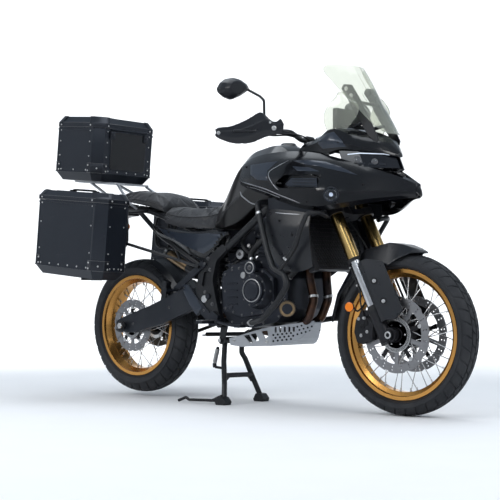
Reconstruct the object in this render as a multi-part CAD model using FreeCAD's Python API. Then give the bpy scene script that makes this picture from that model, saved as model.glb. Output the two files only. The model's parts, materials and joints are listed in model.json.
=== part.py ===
"""Adventure motorcycle on its centre stand, with three aluminium luggage cases.

Millimetres. Every function works with x forward from the rear axle, y to the rider's left and z up from the
floor. When the pieces are saved they are moved so that x = 0 is the middle of the whole length.
"""
import FreeCAD, Part
import math, os

V = FreeCAD.Vector

# Wheels and stance
wheelbase = 1513.0
front_tyre_radius = 329.5
front_tyre_width = 112.0
front_rim_radius = 257.5
front_rim_width = 78.0
rear_tyre_radius = 321.0
rear_tyre_width = 150.0
rear_rim_radius = 232.5
rear_rim_width = 122.0
rear_wheel_lift = 20.0
spoke_radius = 1.9
spoke_count = 36
seat_gap = 0.3
running_gap = 0.05
disc_thickness = 5.0
front_disc_radius = 155.0
front_disc_offset = 65.0
rear_disc_radius = 125.0
rear_disc_offset = 81.5

# Steering head and fork
rake = math.radians(26.0)
axle_offset = 28.0
clamp_offset = 30.0
fork_spacing = 105.0
fork_upper_radius = 27.0
fork_lower_radius = 21.5
fork_upper_start = 352.0
fork_upper_end = 760.0
lower_clamp_height = 560.0
upper_clamp_height = 728.0
clamp_thickness = 34.0
stem_radius = 16.0
head_tube_radius = 30.0
axle_radius = 9.0

# Handlebar
bar_radius = 11.0
grip_radius = 16.5
bar_centre_z = 1150.0
bar_bend_y = 205.0
bar_bend_x = 1076.0
bar_bend_z = 1172.0
bar_end_x = 905.0
bar_end_y = 432.0
bar_end_z = 1168.0
grip_length = 122.0

# Frame, swingarm and stands
frame_tube_radius = 17.0
subframe_tube_radius = 11.0
frame_plate_y = 150.0
frame_plate_thickness = 26.0
pivot_x = 583.0
pivot_z = 482.0
swingarm_half_width = 122.0
swingarm_thickness = 30.0
chain_y = 92.0
chain_width = 14.0
sprocket_radius = 98.0
front_sprocket_radius = 38.0
crash_tube_radius = 12.5
stand_pivot_x = 600.0
stand_pivot_z = 285.0
stand_foot_x = 633.0
stand_foot_y = 130.0
stand_leg_y = 99.0
stand_tube_radius = 12.0
side_stand_x = 520.0
side_stand_y = 168.0
side_stand_z = 305.0
side_stand_length = 275.0

# Engine
engine_half_width = 148.0
clutch_x = 875.0
clutch_z = 508.0
clutch_radius = 74.0
cover_depth = 62.0
block_half_width = 104.0

# Luggage
case_tilt = 5.5
pannier_length = 470.0
pannier_width = 205.0
pannier_height = 345.0
pannier_lid_height = 46.0
pannier_x = -35.0
pannier_z = 770.0
pannier_inner_y = 275.0
top_case_length = 335.0
top_case_width = 400.0
top_case_height = 258.0
top_case_lid_height = 54.0
top_case_x = -292.0
top_case_z = 1208.0
case_wall = 3.0
case_corner = 42.0
lid_gap = 0.3
rack_plate_thickness = 8.0
hinge_radius = 6.0
hinge_gap = 1.0

# Panels
panel_thickness = 6.0
screen_thickness = 4.0
mudguard_thickness = 5.0
plate_thickness = 4.0

# Where the wheels stand
front_axle = V(wheelbase, 0, front_tyre_radius)
rear_axle = V(0, 0, rear_tyre_radius + rear_wheel_lift)

# The whole length runs from the front of the front tyre to the back of the top case
front_end_x = wheelbase + front_tyre_radius
rear_end_x = top_case_x - top_case_length / 2.0
middle_x = (front_end_x + rear_end_x) / 2.0

fork_up = V(-math.sin(rake), 0, math.cos(rake))
fork_forward = V(math.cos(rake), 0, math.sin(rake))


def fork_point(along, forward=0.0, side=0.0):
    """A point in the fork's own directions, counted from the foot of the fork tubes' centre plane."""
    foot = front_axle - fork_forward * axle_offset
    return foot + fork_up * along + fork_forward * forward + V(0, side, 0)


def steering_point(along):
    """A point on the steering axis, which lies behind the fork tubes."""
    return fork_point(along, -clamp_offset)


# The bar sits on the steering axis, so it turns about its own middle
bar_centre_x = steering_point(0.0).x - (bar_centre_z - steering_point(0.0).z) * math.tan(rake)


# Shape helpers

def mirrored(shape):
    return shape.mirror(V(0, 0, 0), V(0, 1, 0))


def both_sides(shape):
    return [shape, mirrored(shape)]


def fused(shapes):
    shapes = list(shapes)
    if len(shapes) == 1:
        return shapes[0]
    joined = shapes[0].multiFuse(shapes[1:])
    return joined.removeSplitter()


def block(x0, x1, y0, y1, z0, z1):
    return Part.makeBox(x1 - x0, y1 - y0, z1 - z0, V(x0, y0, z0))


def rod(start, end, radius):
    start, end = V(*start), V(*end)
    along = end - start
    return Part.makeCylinder(radius, along.Length, start, along)


def rounded_edges(points, radius, closed):
    """Straight runs through the points, with a tangent arc of the given radius at each corner."""
    points = [V(*p) for p in points]
    count = len(points)
    radii = list(radius) if isinstance(radius, (list, tuple)) else [radius] * count
    corners = []
    for i, point in enumerate(points):
        open_end = not closed and i in (0, count - 1)
        if open_end or radii[i] <= 0:
            corners.append((point, None, point))
            continue
        back = (points[i - 1] - point).normalize()
        ahead = (points[(i + 1) % count] - point).normalize()
        half = back.getAngle(ahead) / 2.0
        if half > math.radians(89.5):
            corners.append((point, None, point))
            continue
        reach = radii[i] / math.tan(half)
        middle = point + (back + ahead).normalize() * (radii[i] / math.sin(half) - radii[i])
        corners.append((point + back * reach, middle, point + ahead * reach))
    edges = []
    for i in range(count):
        start, middle, end = corners[i]
        if middle is not None:
            edges.append(Part.Arc(start, middle, end).toShape())
        last = i == count - 1
        if last and not closed:
            break
        following = corners[(i + 1) % count][0]
        if (following - end).Length > 1e-6:
            edges.append(Part.LineSegment(end, following).toShape())
    return edges


def profile_wire(points, radius=0.0):
    return Part.Wire(rounded_edges(points, radius, True))


def side_plate(outline, y0, y1, radius=0.0):
    """A flat piece with its outline given as (x, z) points, between two planes of constant y."""
    wire = profile_wire([(x, y0, z) for x, z in outline], radius)
    return Part.Face(wire).extrude(V(0, y1 - y0, 0))


def tube(points, radius, bend):
    """A round bar along straight runs joined by tangent arcs."""
    path = Part.Wire(rounded_edges(points, bend, False))
    start = V(*points[0])
    along = V(*points[1]) - start
    ring = Part.Wire([Part.makeCircle(radius, start, along)])
    return path.makePipeShell([ring], True, True)


def spun(outline, centre, start=0.0, angle=360.0):
    """A solid turned about the y direction through centre, from (y, r) points; 0 degrees is forward."""
    wire = profile_wire([(centre.x + r, centre.y + y, centre.z) for y, r in outline])
    solid = Part.Face(wire).revolve(centre, V(0, -1, 0), angle)
    if start:
        solid.rotate(centre, V(0, -1, 0), start)
    return solid


def loft(wires, ruled=False):
    return Part.makeLoft(wires, True, ruled)


def band(points, thickness):
    """A closed strip from open (a, b) points: the points, then the same points moved inwards."""
    count = len(points)
    inner = []
    for i, (a, b) in enumerate(points):
        before = points[max(i - 1, 0)]
        after = points[min(i + 1, count - 1)]
        da, db = after[0] - before[0], after[1] - before[1]
        size = math.hypot(da, db)
        inner.append((a + db / size * thickness, b - da / size * thickness))
    return list(points) + inner[::-1]


def band_along_x(stations, thickness):
    """A curved panel whose section at each x is a strip of (y, z) points."""
    wires = [profile_wire([(x, y, z) for y, z in band(line, thickness)]) for x, line in stations]
    return loft(wires)


def solid_along_x(stations, radius=0.0):
    """A solid body whose section at each x is symmetric and given by its right-hand (y, z) points."""
    wires = []
    for x, half in stations:
        right = [(x, y, z) for y, z in half]
        left = [(x, -y, z) for y, z in reversed(half) if abs(y) > 1e-6]
        wires.append(profile_wire(right + left, radius))
    return loft(wires)


def tilted_about(shape, centre, degrees):
    """Turned about the y direction; a positive angle lowers the nose."""
    shape.rotate(centre, V(0, 1, 0), degrees)
    return shape


# Wheels

def tyre(axle, radius, width, rim_radius, rim_width):
    """A hollow carcass: rounded crown, bulging walls and two beads on the rim."""
    half = width / 2.0
    bead = rim_width / 2.0 - 4.0 - seat_gap
    shoulder = radius - width * 0.20
    bulge = rim_radius + (radius - rim_radius) * 0.42
    wall = 9.0
    outer = [
        (-bead, rim_radius + seat_gap),
        (-bead, rim_radius + 9.5),
        (-half, bulge),
        (-half * 0.90, shoulder),
        (-half * 0.52, radius - width * 0.045),
        (0, radius),
        (half * 0.52, radius - width * 0.045),
        (half * 0.90, shoulder),
        (half, bulge),
        (bead, rim_radius + 9.5),
        (bead, rim_radius + seat_gap),
    ]
    inner = [
        (bead - wall, rim_radius + seat_gap),
        (half - wall, bulge),
        (half * 0.80 - wall * 0.5, shoulder - wall),
        (0, radius - wall * 1.3),
        (-half * 0.80 + wall * 0.5, shoulder - wall),
        (-half + wall, bulge),
        (-bead + wall, rim_radius + seat_gap),
    ]
    return spun(outer + inner, axle)


def rim(axle, rim_radius, rim_width):
    """A rolled channel with a drop centre, open seen from the side, and a narrow raised lip at each edge."""
    half = rim_width / 2.0
    lip = 8.0
    right = [
        (half * 0.35, rim_radius - 19.0),
        (half - 22.0, rim_radius - 2.0),
        (half - 4.0, rim_radius),
        (half - 4.0, rim_radius + lip),
        (half, rim_radius + lip),
        (half, rim_radius - 7.0),
        (half - 12.0, rim_radius - 8.0),
        (half * 0.45, rim_radius - 25.0),
    ]
    return spun(right + [(-y, r) for y, r in reversed(right)], axle)


def spoked_hub(axle, hub_half_width, flange_radius, barrel_radius, bore_radius, rim_inner_radius):
    """A turned hub with two flanges, and crossed wire spokes out to just inside the rim."""
    half = hub_half_width
    outline = [
        (-half, bore_radius),
        (-half, barrel_radius),
        (-half + 6.0, barrel_radius),
        (-half + 6.0, flange_radius),
        (-half + 12.0, flange_radius),
        (-half + 16.0, barrel_radius * 0.8),
        (half - 16.0, barrel_radius * 0.8),
        (half - 12.0, flange_radius),
        (half - 6.0, flange_radius),
        (half - 6.0, barrel_radius),
        (half, barrel_radius),
        (half, bore_radius),
    ]
    pieces = [spun(outline, axle)]
    for i in range(spoke_count):
        side = 1.0 if i % 2 else -1.0
        lean = 1.0 if (i // 2) % 2 else -1.0
        at_rim = 2.0 * math.pi * (i + 0.5) / spoke_count
        at_hub = at_rim + lean * math.radians(48.0)
        foot_radius = flange_radius - 4.0
        foot = axle + V(math.cos(at_hub) * foot_radius, side * (half - 9.0), math.sin(at_hub) * foot_radius)
        tip = axle + V(math.cos(at_rim) * rim_inner_radius, side * 6.0, math.sin(at_rim) * rim_inner_radius)
        pieces.append(rod(foot, tip, spoke_radius))
    return fused(pieces)


def brake_disc(axle, y, radius, hub_radius, lobes):
    """A petal disc: a braking ring with a scalloped edge, on a spider of arms round the hub."""
    ring_width = 36.0
    half = disc_thickness / 2.0
    ring = spun([(y - half, radius - ring_width), (y - half, radius), (y + half, radius),
                 (y + half, radius - ring_width)], axle)
    scallops = []
    for i in range(lobes):
        angle = 2.0 * math.pi * i / lobes
        at = axle + V(math.cos(angle) * (radius + 14.0), y - disc_thickness, math.sin(angle) * (radius + 14.0))
        scallops.append(Part.makeCylinder(19.0, 2.0 * disc_thickness, at, V(0, 1, 0)))
    for i in range(lobes * 2):
        angle = 2.0 * math.pi * (i + 0.5) / (lobes * 2)
        for depth in (11.0, 24.0):
            at = axle + V(math.cos(angle) * (radius - depth), y - disc_thickness, math.sin(angle) * (radius - depth))
            scallops.append(Part.makeCylinder(3.6, 2.0 * disc_thickness, at, V(0, 1, 0)))
    ring = ring.cut(Part.makeCompound(scallops))
    arms = [spun([(y - half, hub_radius), (y - half, hub_radius + 16.0), (y + half, hub_radius + 16.0),
                  (y + half, hub_radius)], axle)]
    for i in range(5):
        arm = block(hub_radius + 6.0, radius - ring_width + 5.0, y - half, y + half, -9.0, 9.0)
        arm.rotate(V(0, 0, 0), V(0, 1, 0), 72.0 * i + 18.0)
        arm.translate(V(axle.x, 0, axle.z))
        arms.append(arm)
    return fused([ring] + arms)


def front_wheel():
    disc = brake_disc(front_axle, front_disc_offset, front_disc_radius, 40.0 + seat_gap, 10)
    return {
        "front_tyre": [tyre(front_axle, front_tyre_radius, front_tyre_width, front_rim_radius, front_rim_width)],
        "front_rim": [rim(front_axle, front_rim_radius, front_rim_width)],
        "front_hub": [spoked_hub(front_axle, 68.0, 52.0, 40.0, axle_radius + running_gap,
                                 front_rim_radius - 26.3)],
        "front_discs": both_sides(disc),
    }


def rear_wheel():
    sprocket = toothed_ring(rear_axle, chain_y, sprocket_radius, 44, 47.0 + seat_gap)
    hub = spoked_hub(rear_axle, 84.0, 66.0, 47.0, axle_radius + running_gap, rear_rim_radius - 26.3)
    carrier = spun([(83.0, 20.0), (83.0, 47.0), (97.0, 47.0), (97.0, 20.0)], rear_axle)
    return {
        "rear_tyre": [tyre(rear_axle, rear_tyre_radius, rear_tyre_width, rear_rim_radius, rear_rim_width)],
        "rear_rim": [rim(rear_axle, rear_rim_radius, rear_rim_width)],
        "rear_hub": [hub.fuse(carrier)],
        "rear_disc": [brake_disc(rear_axle, -rear_disc_offset, rear_disc_radius, 47.0 + seat_gap, 8)],
        "rear_sprocket": [sprocket],
    }


def toothed_ring(centre, y, radius, teeth, bore):
    """A chain wheel: a plate whose rim has one rounded gap for each roller."""
    half = 3.5
    plate = spun([(y - half, bore), (y - half, radius + 3.0), (y + half, radius + 3.0), (y + half, bore)], centre)
    gaps = []
    for i in range(teeth):
        angle = 2.0 * math.pi * i / teeth
        at = centre + V(math.cos(angle) * (radius + 1.0), y - 2 * half, math.sin(angle) * (radius + 1.0))
        gaps.append(Part.makeCylinder(4.4, 4 * half, at, V(0, 1, 0)))
    for i in range(5):
        angle = 2.0 * math.pi * i / 5
        at = centre + V(math.cos(angle) * 70.0, y - 2 * half, math.sin(angle) * 70.0)
        gaps.append(Part.makeCylinder(11.0, 4 * half, at, V(0, 1, 0)))
    return plate.cut(Part.makeCompound(gaps))


# Fork and handlebar

def fork():
    lug_half = 14.0
    uppers, lowers, clamps = [], [], []
    for side in (-1.0, 1.0):
        y = side * fork_spacing
        uppers.append(rod(fork_point(fork_upper_start, 0, y), fork_point(fork_upper_end, 0, y), fork_upper_radius))
        stanchion = rod(fork_point(60.0, 0, y), fork_point(fork_upper_start - seat_gap, 0, y), fork_lower_radius)
        foot = rod(fork_point(-22.0, 0, y), fork_point(120.0, 0, y), fork_lower_radius + 6.0)
        lug = Part.makeCylinder(30.0, 2 * lug_half, front_axle + V(0, y - lug_half, 0), V(0, 1, 0))
        bore = Part.makeCylinder(axle_radius + seat_gap, 80.0, front_axle + V(0, y - 40.0, 0), V(0, 1, 0))
        lowers.append(fused([stanchion, foot, lug]).cut(bore))
    axle_shaft = Part.makeCylinder(axle_radius, 2 * fork_spacing + 44.0,
                                   front_axle - V(0, fork_spacing + 22.0, 0), V(0, 1, 0))
    for height in (lower_clamp_height, upper_clamp_height):
        clamps.append(clamp_plate(height))
    stem = rod(steering_point(lower_clamp_height), steering_point(upper_clamp_height + clamp_thickness), stem_radius)
    risers = []
    for side in (-1.0, 1.0):
        foot = fork_point(upper_clamp_height + 6.0, -clamp_offset, side * 42.0)
        head = V(bar_centre_x, side * 42.0, bar_centre_z)
        riser = rod(foot, head, 13.0)
        cap = Part.makeCylinder(bar_radius + 9.0, 34.0, V(bar_centre_x, side * 42.0 - 17.0, bar_centre_z), V(0, 1, 0))
        risers.append(fused([riser, cap]))
    seat = Part.makeCylinder(bar_radius + seat_gap, 200.0, V(bar_centre_x, -100.0, bar_centre_z), V(0, 1, 0))
    yoke = fused(clamps + [stem] + risers).cut(seat)
    return {"fork_uppers": uppers, "fork_lowers": lowers + [axle_shaft], "fork_clamps": [yoke]}


def clamp_plate(height):
    """A fork clamp: a plate across both tubes with a boss round each, bored for the tubes."""
    boss_radius = fork_upper_radius + 9.0
    parts = []
    for side in (-1.0, 1.0):
        start = fork_point(height, 0, side * fork_spacing)
        end = fork_point(height + clamp_thickness, 0, side * fork_spacing)
        parts.append(rod(start, end, boss_radius))
    corner = [(22.0, fork_spacing), (-24.0, fork_spacing), (-clamp_offset - 30.0, 45.0),
              (-clamp_offset - 30.0, -45.0), (-24.0, -fork_spacing), (22.0, -fork_spacing), (10.0, 0.0)]
    wire = profile_wire([fork_point(height + 4.0, a, b) for a, b in corner], 0.0)
    parts.append(Part.Face(wire).extrude(fork_up * (clamp_thickness - 8.0)))
    plate = fused(parts)
    for side in (-1.0, 1.0):
        start = fork_point(height - 10.0, 0, side * fork_spacing)
        end = fork_point(height + clamp_thickness + 10.0, 0, side * fork_spacing)
        plate = plate.cut(rod(start, end, fork_upper_radius + seat_gap))
    return plate


def grip_axis():
    end = V(bar_end_x, bar_end_y, bar_end_z)
    bend = V(bar_bend_x, bar_bend_y, bar_bend_z)
    return end, (bend - end).normalize()


def handlebar():
    end, inward = grip_axis()
    half = [(bar_bend_x, bar_bend_y, bar_bend_z), (bar_centre_x, 95.0, bar_centre_z)]
    points = [tuple(end)] + half + [(x, -y, z) for x, y, z in reversed(half)] + [(end.x, -end.y, end.z)]
    bar = tube(points, bar_radius, [0, 45.0, 45.0, 45.0, 45.0, 0])
    parts = [bar]
    for side in (1.0, -1.0):
        tip = V(end.x, side * end.y, end.z)
        along = V(inward.x, side * inward.y, inward.z)
        parts.append(Part.makeCylinder(grip_radius, grip_length, tip, along))
        parts.append(Part.makeCylinder(grip_radius + 6.0, 6.0, tip + along * grip_length, along))
        parts.append(Part.makeCone(grip_radius - 3.0, grip_radius + 1.0, 26.0, tip - along * 26.0, along))
    return {"handlebar": [fused(parts)]}


def controls():
    """Brake and clutch levers with their brackets and the switch boxes, one set at each side."""
    end, inward = grip_axis()
    clamp = end + inward * (grip_length + 34.0)
    housing = Part.makeCylinder(grip_radius + 4.0, 34.0, end + inward * (grip_length + 6.0 + seat_gap), inward)
    bracket = Part.makeCylinder(grip_radius + 3.0, 26.0, clamp + inward * 4.0, inward)
    forward = V(0.79, 0.61, 0)
    forward = (forward - inward * forward.dot(inward)).normalize()
    pivot = clamp + inward * 18.0 + forward * 42.0 + V(0, 0, -4.0)
    body = rod(clamp + inward * 18.0 + forward * 10.0, pivot, 11.0)
    outward = inward * -1.0
    lever = tube([tuple(pivot), tuple(pivot + outward * 60.0 + forward * 8.0),
                  tuple(pivot + outward * 140.0 - forward * 2.0)], 5.0, 30.0)
    reservoir = Part.makeCylinder(17.0, 26.0, pivot + V(0, 0, 4.0) + inward * 22.0, V(0, 0, 1))
    bar_space = Part.makeCylinder(bar_radius + seat_gap, 400.0, end - inward * 50.0, inward)
    one = fused([housing, bracket, body, lever, reservoir]).cut(bar_space)
    return {"controls": both_sides(one)}


def hand_guards():
    """Curved guards in front of the grips, each with a stay back to the bar's end and to the bar."""
    end, inward = grip_axis()
    stations = [(286.0, 1103.0, 1157.0, 1184.0), (300.0, 1087.0, 1152.0, 1207.0), (318.0, 1066.0, 1146.0, 1212.0),
                (340.0, 1040.0, 1133.0, 1243.0), (362.0, 1014.0, 1119.0, 1229.0), (384.0, 988.0, 1115.0, 1210.0),
                (406.0, 962.0, 1115.0, 1195.0), (428.0, 936.0, 1120.0, 1184.0), (450.0, 910.0, 1132.0, 1179.0),
                (468.0, 889.0, 1150.0, 1171.0)]
    wires = []
    for y, x, low, high in stations:
        tall = high - low
        bulge = tall * 0.10
        line = [(x - bulge, high), (x + bulge, high - tall * 0.3), (x + bulge * 0.6, high - tall * 0.66),
                (x - bulge * 1.6, low)]
        wires.append(profile_wire([(a, y, b) for a, b in band(line, -4.5)]))
    shell = loft(wires)
    end_stay = rod(end + V(-4, 6, 0), V(893.0, 463.0, 1161.0), 8.0)
    inner_stay = rod(end + inward * (grip_length + 76.0) + V(10, 4, 0), V(1099.0, 291.0, 1180.0), 8.0)
    bar_space = Part.makeCylinder(bar_radius + seat_gap, 600.0, end - inward * 27.0, inward)
    plug_space = Part.makeCone(grip_radius - 3.0 + seat_gap, grip_radius + 1.0 + seat_gap, 27.0,
                               end - inward * 26.5, inward)
    one = fused([shell, end_stay, inner_stay]).cut(bar_space).cut(plug_space)
    return {"hand_guards": both_sides(one)}


def mirrors():
    """Mirror heads on curved stems that stand on the lever brackets."""
    end, inward = grip_axis()
    foot = end + inward * (grip_length + 52.0) + V(2, 0, 20.0)
    stem = tube([tuple(foot), (1036.0, 326.0, 1240.0), (1038.0, 330.0, 1294.0), (1020.0, 334.0, 1312.0),
                 (972.0, 356.0, 1342.0)], 6.0, [0, 22.0, 12.0, 12.0, 0])
    glass = [(344, 1348), (366, 1329), (403, 1308), (447, 1291), (483, 1297), (517, 1312), (525, 1328), (505, 1355),
             (476, 1374), (440, 1383), (403, 1380), (363, 1366)]
    centre_y = sum(y for y, z in glass) / len(glass)
    centre_z = sum(z for y, z in glass) / len(glass)
    wires = []
    for x, scale in ((946.0, 0.97), (950.0, 1.0), (966.0, 1.0), (982.0, 0.86), (992.0, 0.6)):
        points = [(x, centre_y + (y - centre_y) * scale, centre_z + (z - centre_z) * scale) for y, z in glass]
        wires.append(profile_wire(points, 7.0 * scale))
    head = loft(wires, True)
    return {"mirrors": both_sides(fused([stem, head]))}


def front_mudguard():
    """A guard over the front tyre: a flat-topped pointed hood in front of the fork and a long tail behind it."""
    inner = front_tyre_radius + 10.0

    def section(degrees, half, skirt, rise, top_half):
        angle = math.radians(degrees)
        line = [(-half, inner - skirt), (-top_half, inner + rise), (top_half, inner + rise), (half, inner - skirt)]
        closed = band(line, mudguard_thickness)
        return profile_wire([(front_axle.x + r * math.cos(angle), y, front_axle.z + r * math.sin(angle))
                             for y, r in closed])

    hood = [
        section(73.0, 18.0, -6.0, 11.0, 8.0),
        section(80.0, 52.0, 6.0, 16.0, 32.0),
        section(88.0, 76.0, 34.0, 26.0, 46.0),
        section(97.0, 84.0, 60.0, 37.0, 52.0),
        section(116.0, 80.0, 0.0, 44.0, 54.0),
    ]
    tail = [
        section(116.0, 80.0, 0.0, 44.0, 54.0),
        section(132.0, 76.0, 16.0, 20.0, 52.0),
        section(152.0, 74.0, 18.0, 12.0, 50.0),
        section(172.0, 72.0, 18.0, 10.0, 48.0),
    ]
    shell = fused([loft(hood, True), loft(tail, True)])
    stays = []
    for side in (-1.0, 1.0):
        at = fork_point(330.0, 4.0, side * (fork_spacing - 32.0))
        stays.append(rod(at + V(0, side * 14.0, 0), at - V(0, side * 26.0, 0), 10.0))
    tubes = [rod(fork_point(0, 0, s * fork_spacing), fork_point(500, 0, s * fork_spacing),
                 fork_lower_radius + seat_gap) for s in (-1.0, 1.0)]
    guard = fused([shell] + stays)
    for space in tubes:
        guard = guard.cut(space)
    return {"front_mudguard": [guard]}


def fork_guards():
    """Shields in front of the stanchions: a flat outer face drawn in towards the wheel at its front edge."""
    plan = band([(24.0, fork_spacing + 24.0), (44.0, fork_spacing + 26.0), (118.0, fork_spacing - 8.0)], 5.0)
    wire = profile_wire([fork_point(40.0, f, y) for f, y in plan])
    sheet = Part.Face(wire).extrude(fork_up * 300.0)
    outline = [(59.0, 18.0), (59.0, 44.0), (46.0, 80.0), (72.0, 124.0), (282.0, 124.0), (324.0, 62.0), (324.0, 18.0)]
    wire = profile_wire([fork_point(a, f, 0.0) for a, f in outline], 4.0)
    shield = sheet.common(Part.Face(wire).extrude(V(0, 200.0, 0)))
    stay = rod(fork_point(106.0, fork_lower_radius, fork_spacing + 8.0),
               fork_point(112.0, 70.0, fork_spacing + 8.0), 5.0)
    space = rod(fork_point(0, 0, fork_spacing), fork_point(400, 0, fork_spacing), fork_lower_radius + 6.0 + seat_gap)
    return {"fork_guards": both_sides(fused([shield, stay]).cut(space))}


def front_calipers():
    """Four-piston calipers behind the fork legs, open over the disc edge."""
    y = front_disc_offset
    outline = [(-184.0, 56.0), (-152.0, 98.0), (-112.0, 94.0), (-96.0, 40.0), (-102.0, -22.0), (-146.0, -42.0),
               (-178.0, -34.0), (-192.0, 8.0)]
    wire = profile_wire([(front_axle.x + x, y - 12.0, front_axle.z + z) for x, z in outline], 9.0)
    body = Part.Face(wire).extrude(V(0, 38.0, 0))
    gap = spun([(y - 5.5, 60.0), (y - 5.5, front_disc_radius + 6.0), (y + 5.5, front_disc_radius + 6.0),
                (y + 5.5, 60.0)], front_axle)
    stay = rod((front_axle.x - 126.0, y + 16.0, front_axle.z + 70.0), fork_point(95.0, -20.0, fork_spacing - 6.0), 9.0)
    space = rod(fork_point(-30.0, 0, fork_spacing), fork_point(120.2, 0, fork_spacing),
                fork_lower_radius + 6.0 + seat_gap)
    one = fused([body, stay]).cut(gap).cut(space)
    return {"front_calipers": both_sides(one)}


# Frame and running gear

def frame_tube(side, radius):
    """The upper frame tube on one side, from the steering head down to the plate over the swingarm pivot."""
    neck = steering_point(lower_clamp_height + 70.0)
    points = [(neck.x - 12.0, side * 12.0, neck.z + 6.0), (1104.0, side * 30.0, 892.0), (1020.0, side * 116.0, 896.0),
              (935.0, side * 172.0, 866.0), (672.0, side * 158.0, 690.0)]
    return tube(points, radius, [0, 50.0, 70.0, 90.0, 0])


def main_frame():
    """A tubular spine and cradle, with a curved plate at each side that holds the swingarm pivot."""
    parts = []
    head_low = steering_point(lower_clamp_height + clamp_thickness + 4.0)
    head_high = steering_point(upper_clamp_height - 4.0)
    parts.append(rod(head_low, head_high, head_tube_radius))
    neck = steering_point(lower_clamp_height + 70.0)
    for side in (-1.0, 1.0):
        parts.append(frame_tube(side, frame_tube_radius))
        down = [(neck.x - 16.0, side * 10.0, neck.z - 4.0), (1118.0, side * 26.0, 852.0), (1040.0, side * 112.0, 760.0),
                (1012.0, side * 138.0, 650.0), (1004.0, side * 138.0, 585.0)]
        parts.append(tube(down, 13.0, [0, 40.0, 60.0, 60.0, 0]))
        parts.append(rod((940.0, side * 168.0, 866.0), (1034.0, side * 126.0, 710.0), 12.0))
        parts.append(rod((1046.0, side * 104.0, 768.0), (1120.0, side * 120.0, 772.0), 9.0))
    outline = [(668, 714), (696, 690), (630, 640), (606, 556), (626, 470), (658, 366), (640, 350), (600, 366),
               (548, 428), (504, 500), (524, 590), (590, 664)]
    rounding = [12.0, 12.0, 40.0, 60.0, 60.0, 8.0, 8.0, 20.0, 60.0, 50.0, 60.0, 40.0]
    plate = side_plate(outline, frame_plate_y, frame_plate_y + frame_plate_thickness, rounding)
    pocket = side_plate([(540, 520), (584, 540), (590, 600), (556, 590)], frame_plate_y + 16.0,
                        frame_plate_y + 60.0, 8.0)
    parts += both_sides(plate.cut(pocket))
    for x, z in ((640.0, 690.0), (618.0, 372.0)):
        parts.append(rod((x, -frame_plate_y - 4.0, z), (x, frame_plate_y + 4.0, z), 15.0))
    stem_space = rod(steering_point(lower_clamp_height), steering_point(upper_clamp_height + 60.0),
                     stem_radius + running_gap)
    pivot_space = Part.makeCylinder(12.0 + seat_gap, 500.0, V(pivot_x, -250.0, pivot_z), V(0, 1, 0))
    frame = fused(parts).cut(stem_space).cut(pivot_space)
    return {"main_frame": [frame]}


def subframe():
    parts = []
    for side in (-1.0, 1.0):
        upper = [(676.0, side * 136.0, 752.0), (500.0, side * 128.0, 766.0), (150.0, side * 112.0, 880.0),
                 (-130.0, side * 92.0, 922.0)]
        parts.append(tube(upper, subframe_tube_radius, [0, 80.0, 200.0, 0]))
        lower = [(560.0, side * 142.0, 598.0), (440.0, side * 138.0, 656.0), (230.0, side * 122.0, 762.0),
                 (60.0, side * 108.0, 893.0)]
        parts.append(tube(lower, subframe_tube_radius, [0, 100.0, 200.0, 0]))
        parts.append(rod((300.0, side * 127.0, 727.0), (330.0, side * 121.0, 824.0), 8.0))
        parts.append(rod((676.0, side * 136.0, 752.0), (668.0, side * 150.0, 690.0), subframe_tube_radius))
    for x, z, half in ((-110.0, 919.0, 94.0), (150.0, 880.0, 112.0), (500.0, 766.0, 126.0)):
        parts.append(rod((x, -half, z), (x, half, z), 8.0))
    return {"subframe": [fused(parts)]}


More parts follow.
